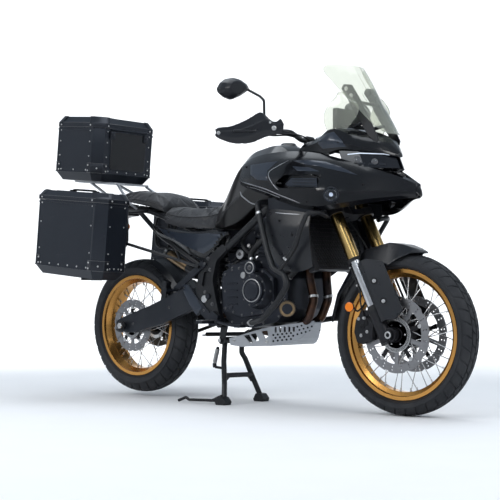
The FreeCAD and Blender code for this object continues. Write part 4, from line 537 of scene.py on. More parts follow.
def hits(node, starts, direction):
    """Each (point, outward direction) where rays from the starts meet a node."""
    return [found for found in (skin(node, start, direction) for start in starts) if found]


def side_bolts(bm, node, spots, side, radius):
    """Cap screws on a node's side, at spots in (x, z)."""
    for x, z in spots:
        found = side_skin(node, x, z, side)
        if found:
            cap_bolt(bm, *found, radius)


def ribbon(bm, node, path, side, width, lift=1):
    """A thin trim strip laid on a node's side along a path of (x, z), tapered at both ends."""
    line = smooth_line([(x, 0, z) for x, z in path], 10)
    spots = [s for s in (side_skin(node, p.x, p.z, side) for p in line) if s]
    last = len(spots) - 1
    rows = []
    for i, (point, normal) in enumerate(spots):
        along = (spots[min(i + 1, last)][0] - spots[max(i - 1, 0)][0]).normalized()
        across = normal.cross(along).normalized()
        share = i / last
        half = width / 2 * min(1, 0.25 + 6 * share, 0.25 + 6 * (1 - share))
        section = ((-half, -1.5), (-half, lift * 0.6), (-half * 0.7, lift), (half * 0.7, lift), (half, lift * 0.6),
                   (half, -1.5))
        rows.append([bm.verts.new(point + across * a + normal * b) for a, b in section])
    join(bm, rows)
    bm.faces.new(rows[0])
    bm.faces.new(rows[-1][::-1])


def patch(bm, node, outline, side, lift=1.4, cell=10):
    """A thin panel laid on a node's side, from its outline in (x, z)."""
    work = bmesh.new()
    work.faces.new([work.verts.new((x, 0, z)) for x, z in outline])
    low_x, high_x = min(x for x, _ in outline), max(x for x, _ in outline)
    low_z, high_z = min(z for _, z in outline), max(z for _, z in outline)
    for start, end, axis in ((low_x, high_x, (1, 0, 0)), (low_z, high_z, (0, 0, 1))):
        for k in range(1, int((end - start) / cell) + 1):
            plane = Vector(axis) * (start + k * cell)
            geometry = work.verts[:] + work.edges[:] + work.faces[:]
            bmesh.ops.bisect_plane(work, geom=geometry, plane_co=plane, plane_no=axis)
    top, under = {}, {}
    for vert in work.verts:
        found = side_skin(node, vert.co.x, vert.co.z, side)
        if found:
            edge = 0.45 if any(len(e.link_faces) == 1 for e in vert.link_edges) else 1
            top[vert] = bm.verts.new(found[0] + found[1] * lift * edge)
            under[vert] = bm.verts.new(found[0] - found[1] * 1.5)
    for face in work.faces:
        if all(v in top for v in face.verts):
            bm.faces.new([top[v] for v in face.verts])
            bm.faces.new([under[v] for v in reversed(face.verts)])
    for edge in work.edges:
        a, b = edge.verts
        kept = [f for f in edge.link_faces if all(v in top for v in f.verts)]
        if len(kept) == 1:
            bm.faces.new((top[a], top[b], under[b], under[a]))
    work.free()


# Wheels


def tyre_piece(name, node, body, axle, radius, width, rim_radius, rim_width, pitches):
    """A tyre with cut tread blocks, shoulder lugs and ridges round its walls."""
    half = width / 2
    bead = rim_width / 2 - 4.3
    shoulder = radius - width * 0.20
    bulge = rim_radius + (radius - rim_radius) * 0.42
    crown = [(0, radius), (half * 0.27, radius - width * 0.014), (half * 0.52, radius - width * 0.046),
             (half * 0.72, radius - width * 0.098), (half * 0.90, shoulder), (half * 0.985, shoulder - width * 0.09)]

    def height(y):
        """The crown's radius at a distance from the middle."""
        y = abs(y)
        for (a, low), (b, high) in zip(crown, crown[1:]):
            if y <= b:
                return low + (high - low) * (y - a) / (b - a)
        return crown[-1][1]

    depth = 5.5
    ring_count = 144
    wall = [(half * 0.94, height(half * 0.94) - 3), (half * 0.985, shoulder - width * 0.10), (half, bulge + 10),
            (half + 0.6, bulge + 7), (half, bulge + 4), (half * 0.985, bulge - 6), (half * 0.93, rim_radius + 20),
            (half * 0.93 + 1, rim_radius + 18.5), (half * 0.90, rim_radius + 17), (bead + 3, rim_radius + 10.5),
            (bead, rim_radius + 9), (bead, rim_radius + 0.8)]
    tread = [(y * half / 12, height(y * half / 12) - depth) for y in range(0, 12)]
    outer = tread + wall
    profile = [(-y, r) for y, r in reversed(outer[1:])] + outer
    bm = bmesh.new()
    rings = [[bm.verts.new(axle + Vector((math.cos(angle) * r, y, math.sin(angle) * r))) for y, r in profile]
             for angle in turns(ring_count)]
    join(bm, rings + rings[:1])

    def lug(corners, low_cut, rows=4, columns=3):
        """One block from four (turn, y) corners, following the crown."""
        def spot(u, v, drop):
            a, b, c, d = corners
            turn = (a[0] * (1 - u) + b[0] * u) * (1 - v) + (d[0] * (1 - u) + c[0] * u) * v
            y = (a[1] * (1 - u) + b[1] * u) * (1 - v) + (d[1] * (1 - u) + c[1] * u) * v
            r = height(y) - drop
            angle = 2 * math.pi * turn
            return bm.verts.new(axle + Vector((math.cos(angle) * r, y, math.sin(angle) * r)))

        def level(inset, drop):
            return [[spot(inset + (1 - 2 * inset) * i / columns, inset + (1 - 2 * inset) * j / rows, drop)
                     for i in range(columns + 1)] for j in range(rows + 1)]

        top, rim_line, foot = level(0.035, 0), level(0, 0.9), level(-0.04, low_cut)
        for j in range(rows):
            for i in range(columns):
                bm.faces.new((top[j][i], top[j][i + 1], top[j + 1][i + 1], top[j + 1][i]))

        def border(grid):
            return grid[0][:-1] + [row[-1] for row in grid[:-1]] + grid[-1][:0:-1] + [row[0] for row in grid[:0:-1]]

        join(bm, [border(grid) for grid in (top, rim_line, foot)])
        for row in rim_line[1:-1] + foot[1:-1]:
            for vert in row[1:-1]:
                bm.verts.remove(vert)

    gap = 0.13
    for side in (-1, 1):
        for k in range(pitches):
            start = k + (0.5 if side > 0 else 0)

            def corner(share, y, slant):
                return ((start + share + slant * y / half) / pitches, side * y)

            lug([corner(gap, 3, 0.9), corner(1, 3, 0.9), corner(1, half * 0.36, 0.9),
                 corner(gap, half * 0.36, 0.9)], depth + 0.5)
            lug([corner(0.42 + gap, half * 0.43, 0.7), corner(1.42, half * 0.43, 0.7), corner(1.42, half * 0.95, 0.7),
                 corner(0.42 + gap * 1.3, half * 0.95, 0.7)], depth + 0.5)
    made = piece(name, bm, finishes["tyre"], body, "tyre", sharp=30)
    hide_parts(node)


def hub_dress(name, body, axle, rim_radius, sides, inner, outer):
    """Spoke nipples at the rim, and for each disc its black carrier arms and bobbins."""
    nipples, carrier, bobbins = meshes(3)
    for k, angle in enumerate(turns(spoke_count, math.pi / spoke_count)):
        out = wheel_ways(angle)[0]
        side = 1 if k % 2 else -1
        turned(nipples, axle + out * (rim_radius - 40) + Vector((0, side * 6.8, 0)), out,
               [(0, 2.4), (1, 3.1), (10, 3.1), (11, 4.6), (16, 4.6)], 8)
    piece(name + "_nipples", nipples, bright_bolt, body, "wheel_steel")
    for y in sides:
        outward = math.copysign(1, y)
        base = axle + Vector((0, y + outward * 2.6, 0))
        turned(carrier, base, (0, outward, 0),
               [(0, inner + 18), (1.6, inner + 18), (2, inner + 16.5), (2, inner - 8), (7, inner - 10),
                (7, 16), (0, 16)], 48)
        for angle in turns(5, math.radians(18)):
            radial, across = wheel_ways(angle)
            arm = [(inner + 8, -17), (outer - 34, -7), (outer - 10, -11), (outer - 3, 0),
                   (outer - 10, 11), (outer - 34, 7), (inner + 8, 17)]
            slab(carrier, [base + radial * a + across * b for a, b in arm], (0, outward * 2.2, 0), 0.7)
            turned(bobbins, base + radial * (outer - 2) - Vector((0, outward * 0.2, 0)), (0, outward, 0),
                   [(0, 8.5), (2.6, 8.5), (3.4, 7.6), (3.4, 4.2), (2.2, 3.8)], 18)
        for angle in turns(6):
            spot = base + wheel_ways(angle)[0] * (inner + 2) + Vector((0, outward * 1.8, 0))
            dome_head(bobbins, spot, (0, outward, 0), 5)
    piece(name + "_disc_carriers", carrier, black_bolt, body, "dark_cast")
    piece(name + "_disc_bobbins", bobbins, bright_bolt, body, "disc_steel")


def toothed_sensor_ring(name, body, axle, y, low, high, slots):
    """A thin steel ring with a window between each pair of teeth, on the wheel's right side."""
    bm = bmesh.new()
    face = axle + Vector((0, y, 0))
    for a, b in ((low, low + 3), (high - 3.5, high)):
        turned(bm, face, (0, -1, 0), [(0, a), (0, b), (1.6, b), (1.6, a), (0, a)], 60)
    tooth = ((low + 2, -1.7), (high - 2.5, -2.2), (high - 2.5, 2.2), (low + 2, 1.7))
    for angle in turns(slots):
        radial, across = wheel_ways(angle)
        slab(bm, [face + radial * a + across * b for a, b in tooth], (0, -1.6, 0), 0)
    piece(name, bm, bright_bolt, body, "disc_steel")


spoke_count = 36
front_rim_radius, rear_rim_radius = 257.5, 232.5
flange_radius = 40.3
tyre_piece("front_tread", "front_tyre", "front_wheel", front_axle, front_radius, 112, front_rim_radius, 78, 38)
tyre_piece("rear_tread", "rear_tyre", "rear_wheel", rear_axle, rear_radius, 150, rear_rim_radius, 122, 34)
hub_dress("front_wheel", "front_wheel", front_axle, front_rim_radius, (-65, 65), flange_radius, 119)
hub_dress("rear_wheel", "rear_wheel", rear_axle, rear_rim_radius, (-81.5,), flange_radius, 89)
toothed_sensor_ring("front_sensor_ring", "front_wheel", front_axle, -71, 55, 71, 48)
toothed_sensor_ring("rear_sensor_ring", "rear_wheel", rear_axle, -88, 48, 60, 40)


# Fork, guards and front brakes


def fork_dress():
    """Bright stanchions, seals, guard bolts, pinch bolts, reflectors and the axle ends."""
    sleeves, seals, bolts, black, reflect, rings = meshes(6)
    for side in (-1, 1):
        y = side * fork_spacing
        turned(sleeves, fork_point(136, 0, y), fork_up, [(0, 21.9), (1, 22.1), (214, 22.1)], 32)
        turned(seals, fork_point(343, 0, y), fork_up,
               [(0, 23), (1, 27.2), (8, 28.4), (12, 28.4), (13, 27.2)], 32)
        turned(seals, fork_point(118, 0, y), fork_up, [(0, 28.3), (14, 28.3), (20, 25), (24, 22.5)], 32)
        inward = (0, -side, 0)
        guard_spots = [fork_point(along, forward, side * 220) for along, forward in ((225, 61), (133, 65))]
        for point, out in hits("fork_guards", guard_spots, inward):
            turned(rings, point, out, [(-1, 14), (1.2, 14), (2.4, 12.6), (2.4, 9.4), (0.6, 8.6)], 24)
            cap_bolt(bolts, point + out * 0.4, out, 5.2)
        foot_spots = [fork_point(along, 22, side * 220) for along in (-12, 14)]
        for point, out in hits("fork_lowers", foot_spots, inward):
            cap_bolt(bolts, point, out, 4.2)
        for point, out in hits("fork_lowers", [front_axle + Vector((0, side * 220, 0))], inward):
            turned(bolts, point, out, [(-1, 15), (2, 15), (3, 14), (3, 9), (-0.5, 8)], 30)
            turned(black, point, out, [(-1, 19.5), (1, 19.5), (1.6, 18.6), (1.6, 15.2)], 30)
        centre = Vector((1301, side * 93, 440))
        facing = Vector((0.10, side, 0)).normalized()
        turned(black, centre - facing * 6, facing, [(0, 18), (9, 21), (11, 21), (11.8, 19.8)], 32)
        turned(reflect, centre + facing * 5, facing, [(0, 19.2), (1.8, 19.2), (2.8, 16), (3.1, 8), (3.2, 1)], 32)
        piped(black, [centre - facing * 4 + Vector((14, 0, 0)), centre + Vector((44, side * 3, -16)),
                      fork_point(172, -20, y)], 4)
    piece("fork_stanchions", sleeves, chrome, "steering", "dark_cast", sharp=60)
    piece("fork_seals", seals, soft_black, "steering", "dark_cast")
    piece("fork_guard_cups", rings, black_bolt, "steering", "trim_plastic")
    piece("fork_bolts", bolts, bright_bolt, "steering", "dark_cast")
    piece("fork_black_details", black, black_bolt, "steering", "dark_cast")
    piece("fork_reflectors", reflect, amber, "steering", "lamp_lens")


def brake_dress():
    """Caliper bolts, pad pins and pistons, and the hoses that run up the fork to the master cylinders."""
    bolts, hoses, fittings, pads = meshes(4)
    offsets = ((-170, 62), (-150, 30), (-158, -6), (-118, 74), (-128, 10), (-134, 44))
    for side in (-1, 1):
        starts = [front_axle + Vector((dx, side * 260, dz)) for dx, dz in offsets]
        for k, (point, out) in enumerate(hits("front_calipers", starts, (0, -side, 0))):
            if k % 2:
                turned(pads, point, out, [(-1, 12.5), (1.6, 12.5), (2.4, 11.6), (2.4, 6.5), (1.2, 6)], 24)
            else:
                cap_bolt(bolts, point, out, 4.6)
        found = skin("front_calipers", front_axle + Vector((-140, side * 260, 66)), (0, -side, 0))
        top = found[0] if found else front_axle + Vector((-140, side * 96, 70))
        turned(fittings, top, (0, side, 0), [(-1, 7), (3, 7), (3.6, 5.4), (9, 5.4)], 14)
        piped(hoses, [top + Vector((0, side * 3, 4)), top + Vector((-16, side * 4, 60)),
                      fork_point(235, -34, side * 100), fork_point(340, -38, side * 96),
                      fork_point(440, -40, side * 80), fork_point(560, -42, side * 40)], 3.6)
        for along in (250, 330):
            turned(fittings, fork_point(along, -38, side * 99), fork_up, [(0, 5), (6, 5)], 12)
        piped(hoses, [front_axle + Vector((-60, side * 84, 8)), front_axle + Vector((-104, side * 92, 60)),
                      fork_point(160, -34, side * 92), fork_point(300, -36, side * 90)], 2.4)
    piece("caliper_bolts", bolts, bright_bolt, "steering", "dark_cast")
    piece("caliper_pistons", pads, black_bolt, "steering", "dark_cast")
    piece("brake_fittings", fittings, bright_bolt, "steering", "dark_cast")
    piece("brake_hoses", hoses, soft_black, "steering", "trim_plastic")


fork_dress()
brake_dress()


# Cases


class Case:
    """A tilted case's own directions: x along it, y across it, z up from its middle."""

    def __init__(self, centre, length, width, height, lid_height, grow, tilt=5.5, flip=1):
        angle = math.radians(tilt)
        self.centre = Vector(centre)
        self.turn_x = Vector((math.cos(angle), 0, -math.sin(angle)))
        self.turn_z = Vector((math.sin(angle), 0, math.cos(angle)))
        self.flip = flip
        self.length, self.width, self.height, self.lid_height, self.grow = length, width, height, lid_height, grow
        total = height + 1.5 + lid_height
        self.foot = -total / 2
        self.seam = self.foot + height
        self.top = total / 2

    def at(self, x, y, z):
        """The point at a place in the case."""
        return self.centre + self.turn_x * x + Vector((0, y * self.flip, 0)) + self.turn_z * z

    def way(self, x, y, z):
        """The direction of a move in the case."""
        return self.turn_x * x + Vector((0, y * self.flip, 0)) + self.turn_z * z

    def plan(self, grow, cut=42):
        """The eight corners of the case's outline in plan, from the front left corner round."""
        a, b = self.length / 2 + grow, self.width / 2 + grow
        return [(a - cut, b), (a, b - cut), (a, -b + cut), (a - cut, -b),
                (-a + cut, -b), (-a, -b + cut), (-a, b - cut), (-a + cut, b)]


def wrap(bm, case, plan, rows):
    """A strip that follows plan corners; rows are (height, extra outset) and it is closed as a thin shell."""
    outer = []
    for z, out in rows:
        line = []
        for x, y in plan:
            scale = 1 + out / max(abs(x), abs(y), 1)
            line.append(bm.verts.new(case.at(x * scale, y * scale, z)))
        outer.append(line)
    join(bm, outer + outer[:1], False)
    bm.faces.new([row[0] for row in outer])
    bm.faces.new([row[-1] for row in reversed(outer)])


def corner_strip(bm, case, plan, low, high, thick=2.2):
    """A folded protector round one cut corner: three flat leaves of the outline between two heights."""
    rows = [(low, -1), (low, thick * 0.6), (low + 2, thick), (high - 2, thick), (high, thick * 0.6), (high, -1)]
    wrap(bm, case, plan, rows)


def leaf(a, b, length):
    """A point on the way from corner a towards corner b."""
    a, b = Vector((*a, 0)), Vector((*b, 0))
    point = a + (b - a).normalized() * length
    return (point.x, point.y)


def case_corners(case):
    """The four cut corners, each as a run of four plan points with a short leaf at each side."""
    plan = case.plan(0)
    for i in range(0, 8, 2):
        a, b = plan[i], plan[i + 1]
        before, after = plan[i - 1], plan[(i + 2) % 8]
        yield [leaf(a, before, 26), a, b, leaf(b, after, 26)]


def lid_cap(bm, case, corner, grow):
    """A cap that closes the lid's upper corner over one cut corner of the plan."""
    def line(level, share, out):
        return [bm.verts.new(case.at(x * share + math.copysign(1, x) * out, y * share + math.copysign(1, y) * out,
                                     level)) for x, y in corner]

    def middle(level):
        (px, py), (qx, qy) = corner[1:3]
        return bm.verts.new(case.at((px + qx) / 2 * 0.80, (py + qy) / 2 * 0.80, level))

    low, high = line(case.seam + case.lid_height * 0.46, 1, grow + 1.6), line(case.top + 1.8, 1, -17)
    inside = line(case.seam + case.lid_height * 0.42, 0.97, 0)
    inner, deep = middle(case.top + 1.8), middle(case.top - 4)
    join(bm, [low, high], False)
    join(bm, [inside, low], False)
    bm.faces.new(high + [inner])
    bm.faces.new((low[0], high[0], inner, deep, inside[0]))
    bm.faces.new((high[3], low[3], inside[3], deep, inner))
    bm.faces.new(inside[::-1] + [deep])


def dress_corner(case, corner, guards, rivets, strips, trim, lid_guards, lid_rivets):
    """Protectors, their edges, grey lines along the lower guards' edges that are painted highlights, and their rivets
    round one cut corner of a case and its lid.
    """
    a, p, q, b = corner
    grow = case.grow / 2
    guard_low, guard_high = case.foot + 40, case.foot + 86
    corner_strip(guards, case, corner, guard_low, guard_high)
    corner_strip(strips, case, [leaf(p, a, 9), p, q, leaf(q, b, 9)], guard_high, case.seam - 2, 1.4)
    grown = [(x + math.copysign(grow, x), y + math.copysign(grow, y)) for x, y in corner]
    corner_strip(lid_guards, case, grown, case.seam + 3, case.seam + 3 + case.lid_height * 0.42, 2.4)
    for (x, y), (onto_x, onto_y) in ((a, p), (b, q)):
        on_end = abs(abs(x) - case.length / 2) < 1
        out = case.way(math.copysign(1, p[0]), 0, 0) if on_end else case.way(0, math.copysign(1, p[1]), 0)
        x, y = x * 0.7 + onto_x * 0.3, y * 0.7 + onto_y * 0.3
        for z in (case.foot + 50, case.foot + 76):
            dome_head(rivets, case.at(x, y, z) + out * 2.2, out, 4.4)
        dome_head(lid_rivets, case.at(x, y, case.seam + 13) + out * (grow + 2.4), out, 4.2)
        for z in (case.seam - 14, case.seam - 60 - (case.height - 240) * 0.4, case.foot + 120):
            dome_head(rivets, case.at(x, y, z) + out * 0.4, out, 3.6)
    # Grey lines along the lower guard's top and bottom edges: painted edge highlights.
    for z in (guard_low, guard_high):
        piped(trim, [case.at(x * 1.012, y * 1.012, z) for x, y in corner], 1.3, 6, False)
    middle = Vector((p[0] + q[0], p[1] + q[1], 0)) / 2
    slope = case.way(*middle.normalized())
    dome_head(rivets, case.at(middle.x, middle.y, case.foot + 62) + slope * 2.6, slope, 4.4)
    lid_cap(lid_guards, case, corner, grow)
    dome_head(lid_rivets, case.at(middle.x * 0.86, middle.y * 0.86, case.top + 1.6), case.turn_z, 3.2)


def dress_face(case, out, reach, rivets, strips, black):
    """A rivet row, two pressed ribs and, where the seam has them, catches on one face of a case."""
    along = Vector((out.y, -out.x, 0))
    face = (case.length if out.x else case.width) / 2
    span = (case.width if out.x else case.length) / 2 - 76
    count = max(3, int(span * 2 / 46))
    for k in range(count):
        spot = out * face + along * (-span + 2 * span * k / (count - 1))
        dome_head(rivets, case.at(spot.x, spot.y, case.foot + 52), case.way(*out), 4.2)
    # A pressed rib just under the lid, and one above the foot
    for z in (case.seam - 9, case.foot + 41):
        ends = [out * (face - 0.5) + along * s * (span + 40) for s in (-1, 1)]
        piped(strips, [case.at(end.x, end.y, z) for end in ends], 2.4, 8, False)
    if not reach:
        return
    axes = (case.way(*along), case.way(*out), case.turn_z)
    for s in (-1, 1):
        base = out * (face + 1) + along * s * span * reach

        def proud(depth, z):
            return case.at(base.x + out.x * depth, base.y + out.y * depth, z)

        brick(black, proud(3, case.seam - 14), (30, 8, 40), 2.5, axes)
        brick(black, proud(6, case.seam + 10), (22, 8, 16), 2.5, axes)
        turned(rivets, proud(7, case.seam - 22), case.way(*out), [(0, 6), (1.4, 6), (2, 5)], 16)


def dress_case(name, case, body, lid_body, face_sides):
    """Corner protectors, rivets, edge strips, grey lines round the lid band and along the guards that are painted
    edge highlights, catches and a carrying handle.
    """
    guards, rivets, strips, trim, lid_highlight_lines, lid_guards, lid_rivets, black = meshes(8)
    for corner in case_corners(case):
        dress_corner(case, corner, guards, rivets, strips, trim, lid_guards, lid_rivets)
    for side_x, side_y, reach in face_sides:
        dress_face(case, Vector((side_x, side_y, 0)), reach, rivets, strips, black)
    # Grey lines round the lid at its seam and above its corner guards: painted edge highlights.
    border = case.plan(case.grow / 2 + 0.6)
    for z, radius in ((case.seam + 3.5, 1.5), (case.seam + case.lid_height * 0.46, 1.1)):
        piped(lid_highlight_lines, [case.at(x, y, z) for x, y in border + border[:1]], radius, 6, False)
    # A folding handle on the lid, on two stays; it lies along the longer way
    reach = case.length * 0.17 if case.width < case.length else 0
    span_y = 0 if reach else case.width * 0.16
    for s in (-1, 1):
        brick(black, case.at(s * reach, s * span_y, case.top + 4), (26, 26, 7), 2.2,
              (case.turn_x, Vector((0, 1, 0)), case.turn_z))
    arch = ((-1, 5), (-0.8, 8), (0, 8.5), (0.8, 8), (1, 5))
    piped(black, [case.at(reach * share, span_y * share, case.top + rise) for share, rise in arch], 5)
    for ending, bm, finish, rider, slot in (
            ("_corner_guards", guards, corner_black, body, "case_metal"),
            ("_edge_strips", strips, finishes["case_metal"], body, "case_metal"),
            ("_rivets", rivets, bright_bolt, body, "brushed_plate"),
            ("_lid_corners", lid_guards, corner_black, lid_body, "case_metal"),
            ("_lid_rivets", lid_rivets, bright_bolt, lid_body, "brushed_plate"),
            ("_guard_edges", trim, grey_bolt, body, "case_metal"),
            ("_lid_edges", lid_highlight_lines, grey_bolt, lid_body, "case_metal"),
            ("_catches", black, black_bolt, lid_body, "case_metal")):
        piece(name + ending, bm, finish, rider, slot)


def cases_dress():
    """Both panniers, then the top case with its front panel and hinges."""
    for side, lid in ((1, "pannier_lid_left"), (-1, "pannier_lid_right")):
        case = Case((-35, side * 377.5, 770), 470, 205, 345, 46, 4, flip=side)
        dress_case("pannier_left" if side > 0 else "pannier_right", case, "chassis", lid,
                   [(0, 1, 0), (1, 0, 0), (-1, 0, 0.55)])
    top = Case((-292, 0, 1208), 335, 400, 258, 54, 0)
    dress_case("top_case", top, "chassis", "top_case_lid",
               [(1, 0, 0), (-1, 0, 0.55), (0, 1, 0), (0, -1, 0)])
    panel, frame_line, hinges = meshes(3)
    # The front of the top case: a smooth inset panel in a raised frame, with two strap hinges above it
    face = top.length / 2
    low, high = top.foot + 62, top.seam - 12
    outline = [(-104, low), (104, low), (116, low + 12), (116, high - 16), (96, high), (-96, high),
               (-116, high - 16), (-116, low + 12)]
    slab(panel, [top.at(face + 0.2, y, z) for y, z in outline], top.way(2.4, 0, 0), 1.1)
    edge = [top.at(face + 1.2, y, z) for y, z in outline]
    piped(frame_line, edge + edge[:1], 2, 8, False)
    axes = (Vector((0, 1, 0)), top.turn_x, top.turn_z)
    for y in (-112, 112):
        brick(hinges, top.at(face + 4.5, y, top.seam - 28), (34, 9, 40), 3, axes)
        turned(hinges, top.at(face + 8, y, top.seam - 26), top.turn_x, [(0, 9), (2, 9), (3, 7.5)], 18)
    piece("top_case_front_panel", panel, finishes["body_paint"], "chassis", "case_metal")
    piece("top_case_front_frame", frame_line, corner_black, "chassis", "case_metal")
    piece("top_case_hinges", hinges, corner_black, "chassis", "case_metal")


cases_dress()


# Bodywork


silver_ribbons = [
    ("side_fairings", [(826, 976), (905, 956), (985, 935), (1066, 906), (1130, 884), (1186, 864)], 3.4, 1.4),
    ("side_fairings", [(860, 952), (930, 938), (1000, 917), (1070, 893)], 2.6, 1.2),
    ("side_fairings", [(1086, 1049), (1036, 1027), (1000, 1004), (1016, 972), (1046, 940), (1068, 924)], 4, 1.4),
    ("fuel_tank", [(778, 938), (800, 912), (824, 888), (846, 880)], 6, 1.4),
    ("radiator_shrouds", [(1000, 836), (1060, 829), (1140, 822)], 4, 1.2),
]
# Blue-grey patches laid on the bodywork: on the side fairings and the nose cowl they are painted sheen, a painted
# reflection of the sky on their upper faces; on the side panels and the heel plates they are a lighter tone.
painted_sheen_and_tone_patches = [
    ("side_fairings", [(862, 1046), (1030, 1050), (988, 1012), (1004, 968), (940, 974), (886, 1002)], 1.8, 12),
    ("side_fairings", [(1116, 1022), (1208, 1010), (1256, 992), (1150, 1000)], 2, 12),
    ("side_fairings", [(1112, 1046), (1190, 1044), (1262, 1034), (1330, 1010), (1400, 972), (1330, 992), (1246, 1014),
                       (1170, 1028)], 1.8, 12),
    ("nose_cowl", [(1192, 1122), (1240, 1150), (1284, 1158), (1322, 1118), (1338, 1092), (1300, 1092), (1226, 1092)],
     1.8, 12),
    ("side_panels", [(236, 802), (300, 786), (400, 769), (540, 762), (690, 765), (640, 716), (548, 672), (420, 716),
                     (300, 758)], 1.6, 14),
    ("foot_rests", [(516, 398), (473, 444), (435, 502), (430, 540), (466, 530), (509, 478), (550, 432)], 2, 14),
]
bodywork_screws = [
    ("side_fairings", [(836, 1040), (880, 946), (1220, 868), (1340, 862), (1420, 934)], 3.6),
    ("radiator_shrouds", [(1030, 800), (1104, 738), (1050, 640)], 4),
    ("side_panels", [(320, 776), (660, 756)], 3.8),
]


def bodywork_dress():
    """Silver lines, blue-grey patches (painted sky sheen on the fairing and cowl, a lighter tone on the side panels
    and heel plates), the vent behind the fairing's chevron, fillers and screws, on both sides.
    """
    lines, panels, dark, bolts, guard_bolts = meshes(5)
    vent = [(1112, 974), (1246, 966), (1250, 926), (1098, 938), (1078, 950)]
    filler = [(956, 900), (1252, 880), (1256, 824), (1190, 812), (956, 832)]
    for side in (-1, 1):
        for node, path, width, lift in silver_ribbons:
            ribbon(lines, node, path, side, width, lift)
        for node, outline, lift, cell in painted_sheen_and_tone_patches:
            patch(panels, node, outline, side, lift, cell)
        for node, spots, radius in bodywork_screws:
            side_bolts(bolts, node, spots, side, radius)
        side_bolts(guard_bolts, "front_mudguard", [(1420, 620), (1380, 560)], side, 4)
        upright(panels, vent, side * 240.5, side * 3, 1.6)
        for rise in (0, 12, 24):
            vane = [(1120, 940 + rise), (1240, 932 + rise), (1240, 936 + rise), (1120, 944 + rise)]
            upright(dark, vane, side * 244, side * 2, 0.6)
        upright(dark, filler, side * 205, side * 3)
        ribbon(dark, "fuel_tank", [(640, 850), (700, 880), (760, 915)], side, 5, 1.4)
    piece("fairing_silver_lines", lines, silver_line, "chassis", "body_paint")
    piece("fairing_painted_sheen_and_tone_panels", panels, painted_sheen_and_tone, "chassis", "body_paint")
    piece("fairing_vanes", dark, corner_black, "chassis", "trim_plastic")
    piece("bodywork_bolts", bolts, black_bolt, "chassis", "trim_plastic")
    piece("mudguard_bolts", guard_bolts, black_bolt, "steering", "trim_plastic")


def lamp_dress():
    """Bowls, cores, rims and glasses of the round lamps."""
    bowls, glass, glow, rims = meshes(4)
    for side in (-1, 1):
        aim_to = Vector((40, side * 42, 0)).normalized()
        mouth = Vector((1330, side * 258, 893))
        turned(bowls, mouth - aim_to * 6, aim_to, [(0, 6), (0.6, 14), (3, 21), (6.5, 24.8), (6.5, 25.6),
                                                    (-0.6, 25.6), (-0.6, 6)], 32)
        turned(glow, mouth - aim_to * 5.6, aim_to, [(0, 9.5), (3, 9), (5, 6), (5.6, 2)], 24)
        turned(rims, mouth - aim_to * 2, aim_to, [(0, 30), (5, 32), (6.5, 31.5), (6.5, 26), (0, 25.4)], 36)
        turned(glass, mouth + aim_to * 1, aim_to, [(0, 25.6), (1.6, 25), (3.4, 20), (4.4, 12), (4.8, 2)], 32)
        first, second = frame_of(aim_to)
        for angle in turns(3, math.radians(30)):
            spot = mouth + aim_to * 4 + (first * math.cos(angle) + second * math.sin(angle)) * 29
            dome_head(rims, spot, aim_to, 2.6)
    piece("round_lamp_bowls", bowls, reflector, "chassis", "lamp_lens", sharp=60)
    piece("round_lamp_cores", glow, lamp_glow, "chassis", "lamp_lens", sharp=60)
    piece("round_lamp_rims", rims, corner_black, "chassis", "trim_plastic")
    piece("round_lamp_glass", glass, lens_glass, "chassis", "lamp_lens", sharp=70)


bodywork_dress()
lamp_dress()


# Seats


def bare_copy(name, node):
    """A fresh mesh with a node's shape, with its seams welded, for a piece that replaces the node."""
    source = nodes[node]
    bm = bmesh.new()
    bm.from_mesh(source.data)
    bm.transform(source.matrix_world)
    bmesh.ops.remove_doubles(bm, verts=bm.verts, dist=0.00002)
    points = [v.co.copy() for v in bm.verts]
    faces = [[v.index for v in f.verts] for f in bm.faces]
    bm.free()
    mesh = bpy.data.meshes.new(name)
    mesh.from_pydata(points, [], faces)
    return link(bpy.data.objects.new(name, mesh))


def settle(made):
    """Apply every modifier on an object."""
    shape = bpy.data.meshes.new_from_object(made.evaluated_get(bpy.context.evaluated_depsgraph_get()))
    made.modifiers.clear()
    made.data = shape


def stand_in(made, node, body, slot):
    """Give a reshaped copy its slot's finish and its body, in place of the node."""
    made.data.materials.clear()
    made.data.materials.append(finishes[slot].material)
    made.data.shade_smooth()
    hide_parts(node)
    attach(made, body)
    shown[node] = made
    bpy.context.view_layer.update()


def remeshed(made, voxel):
    """Even out an object's mesh into cells of one size."""
    modifier = made.modifiers.new("even", "REMESH")
    modifier.mode = "VOXEL"
    modifier.voxel_size = voxel
    settle(made)


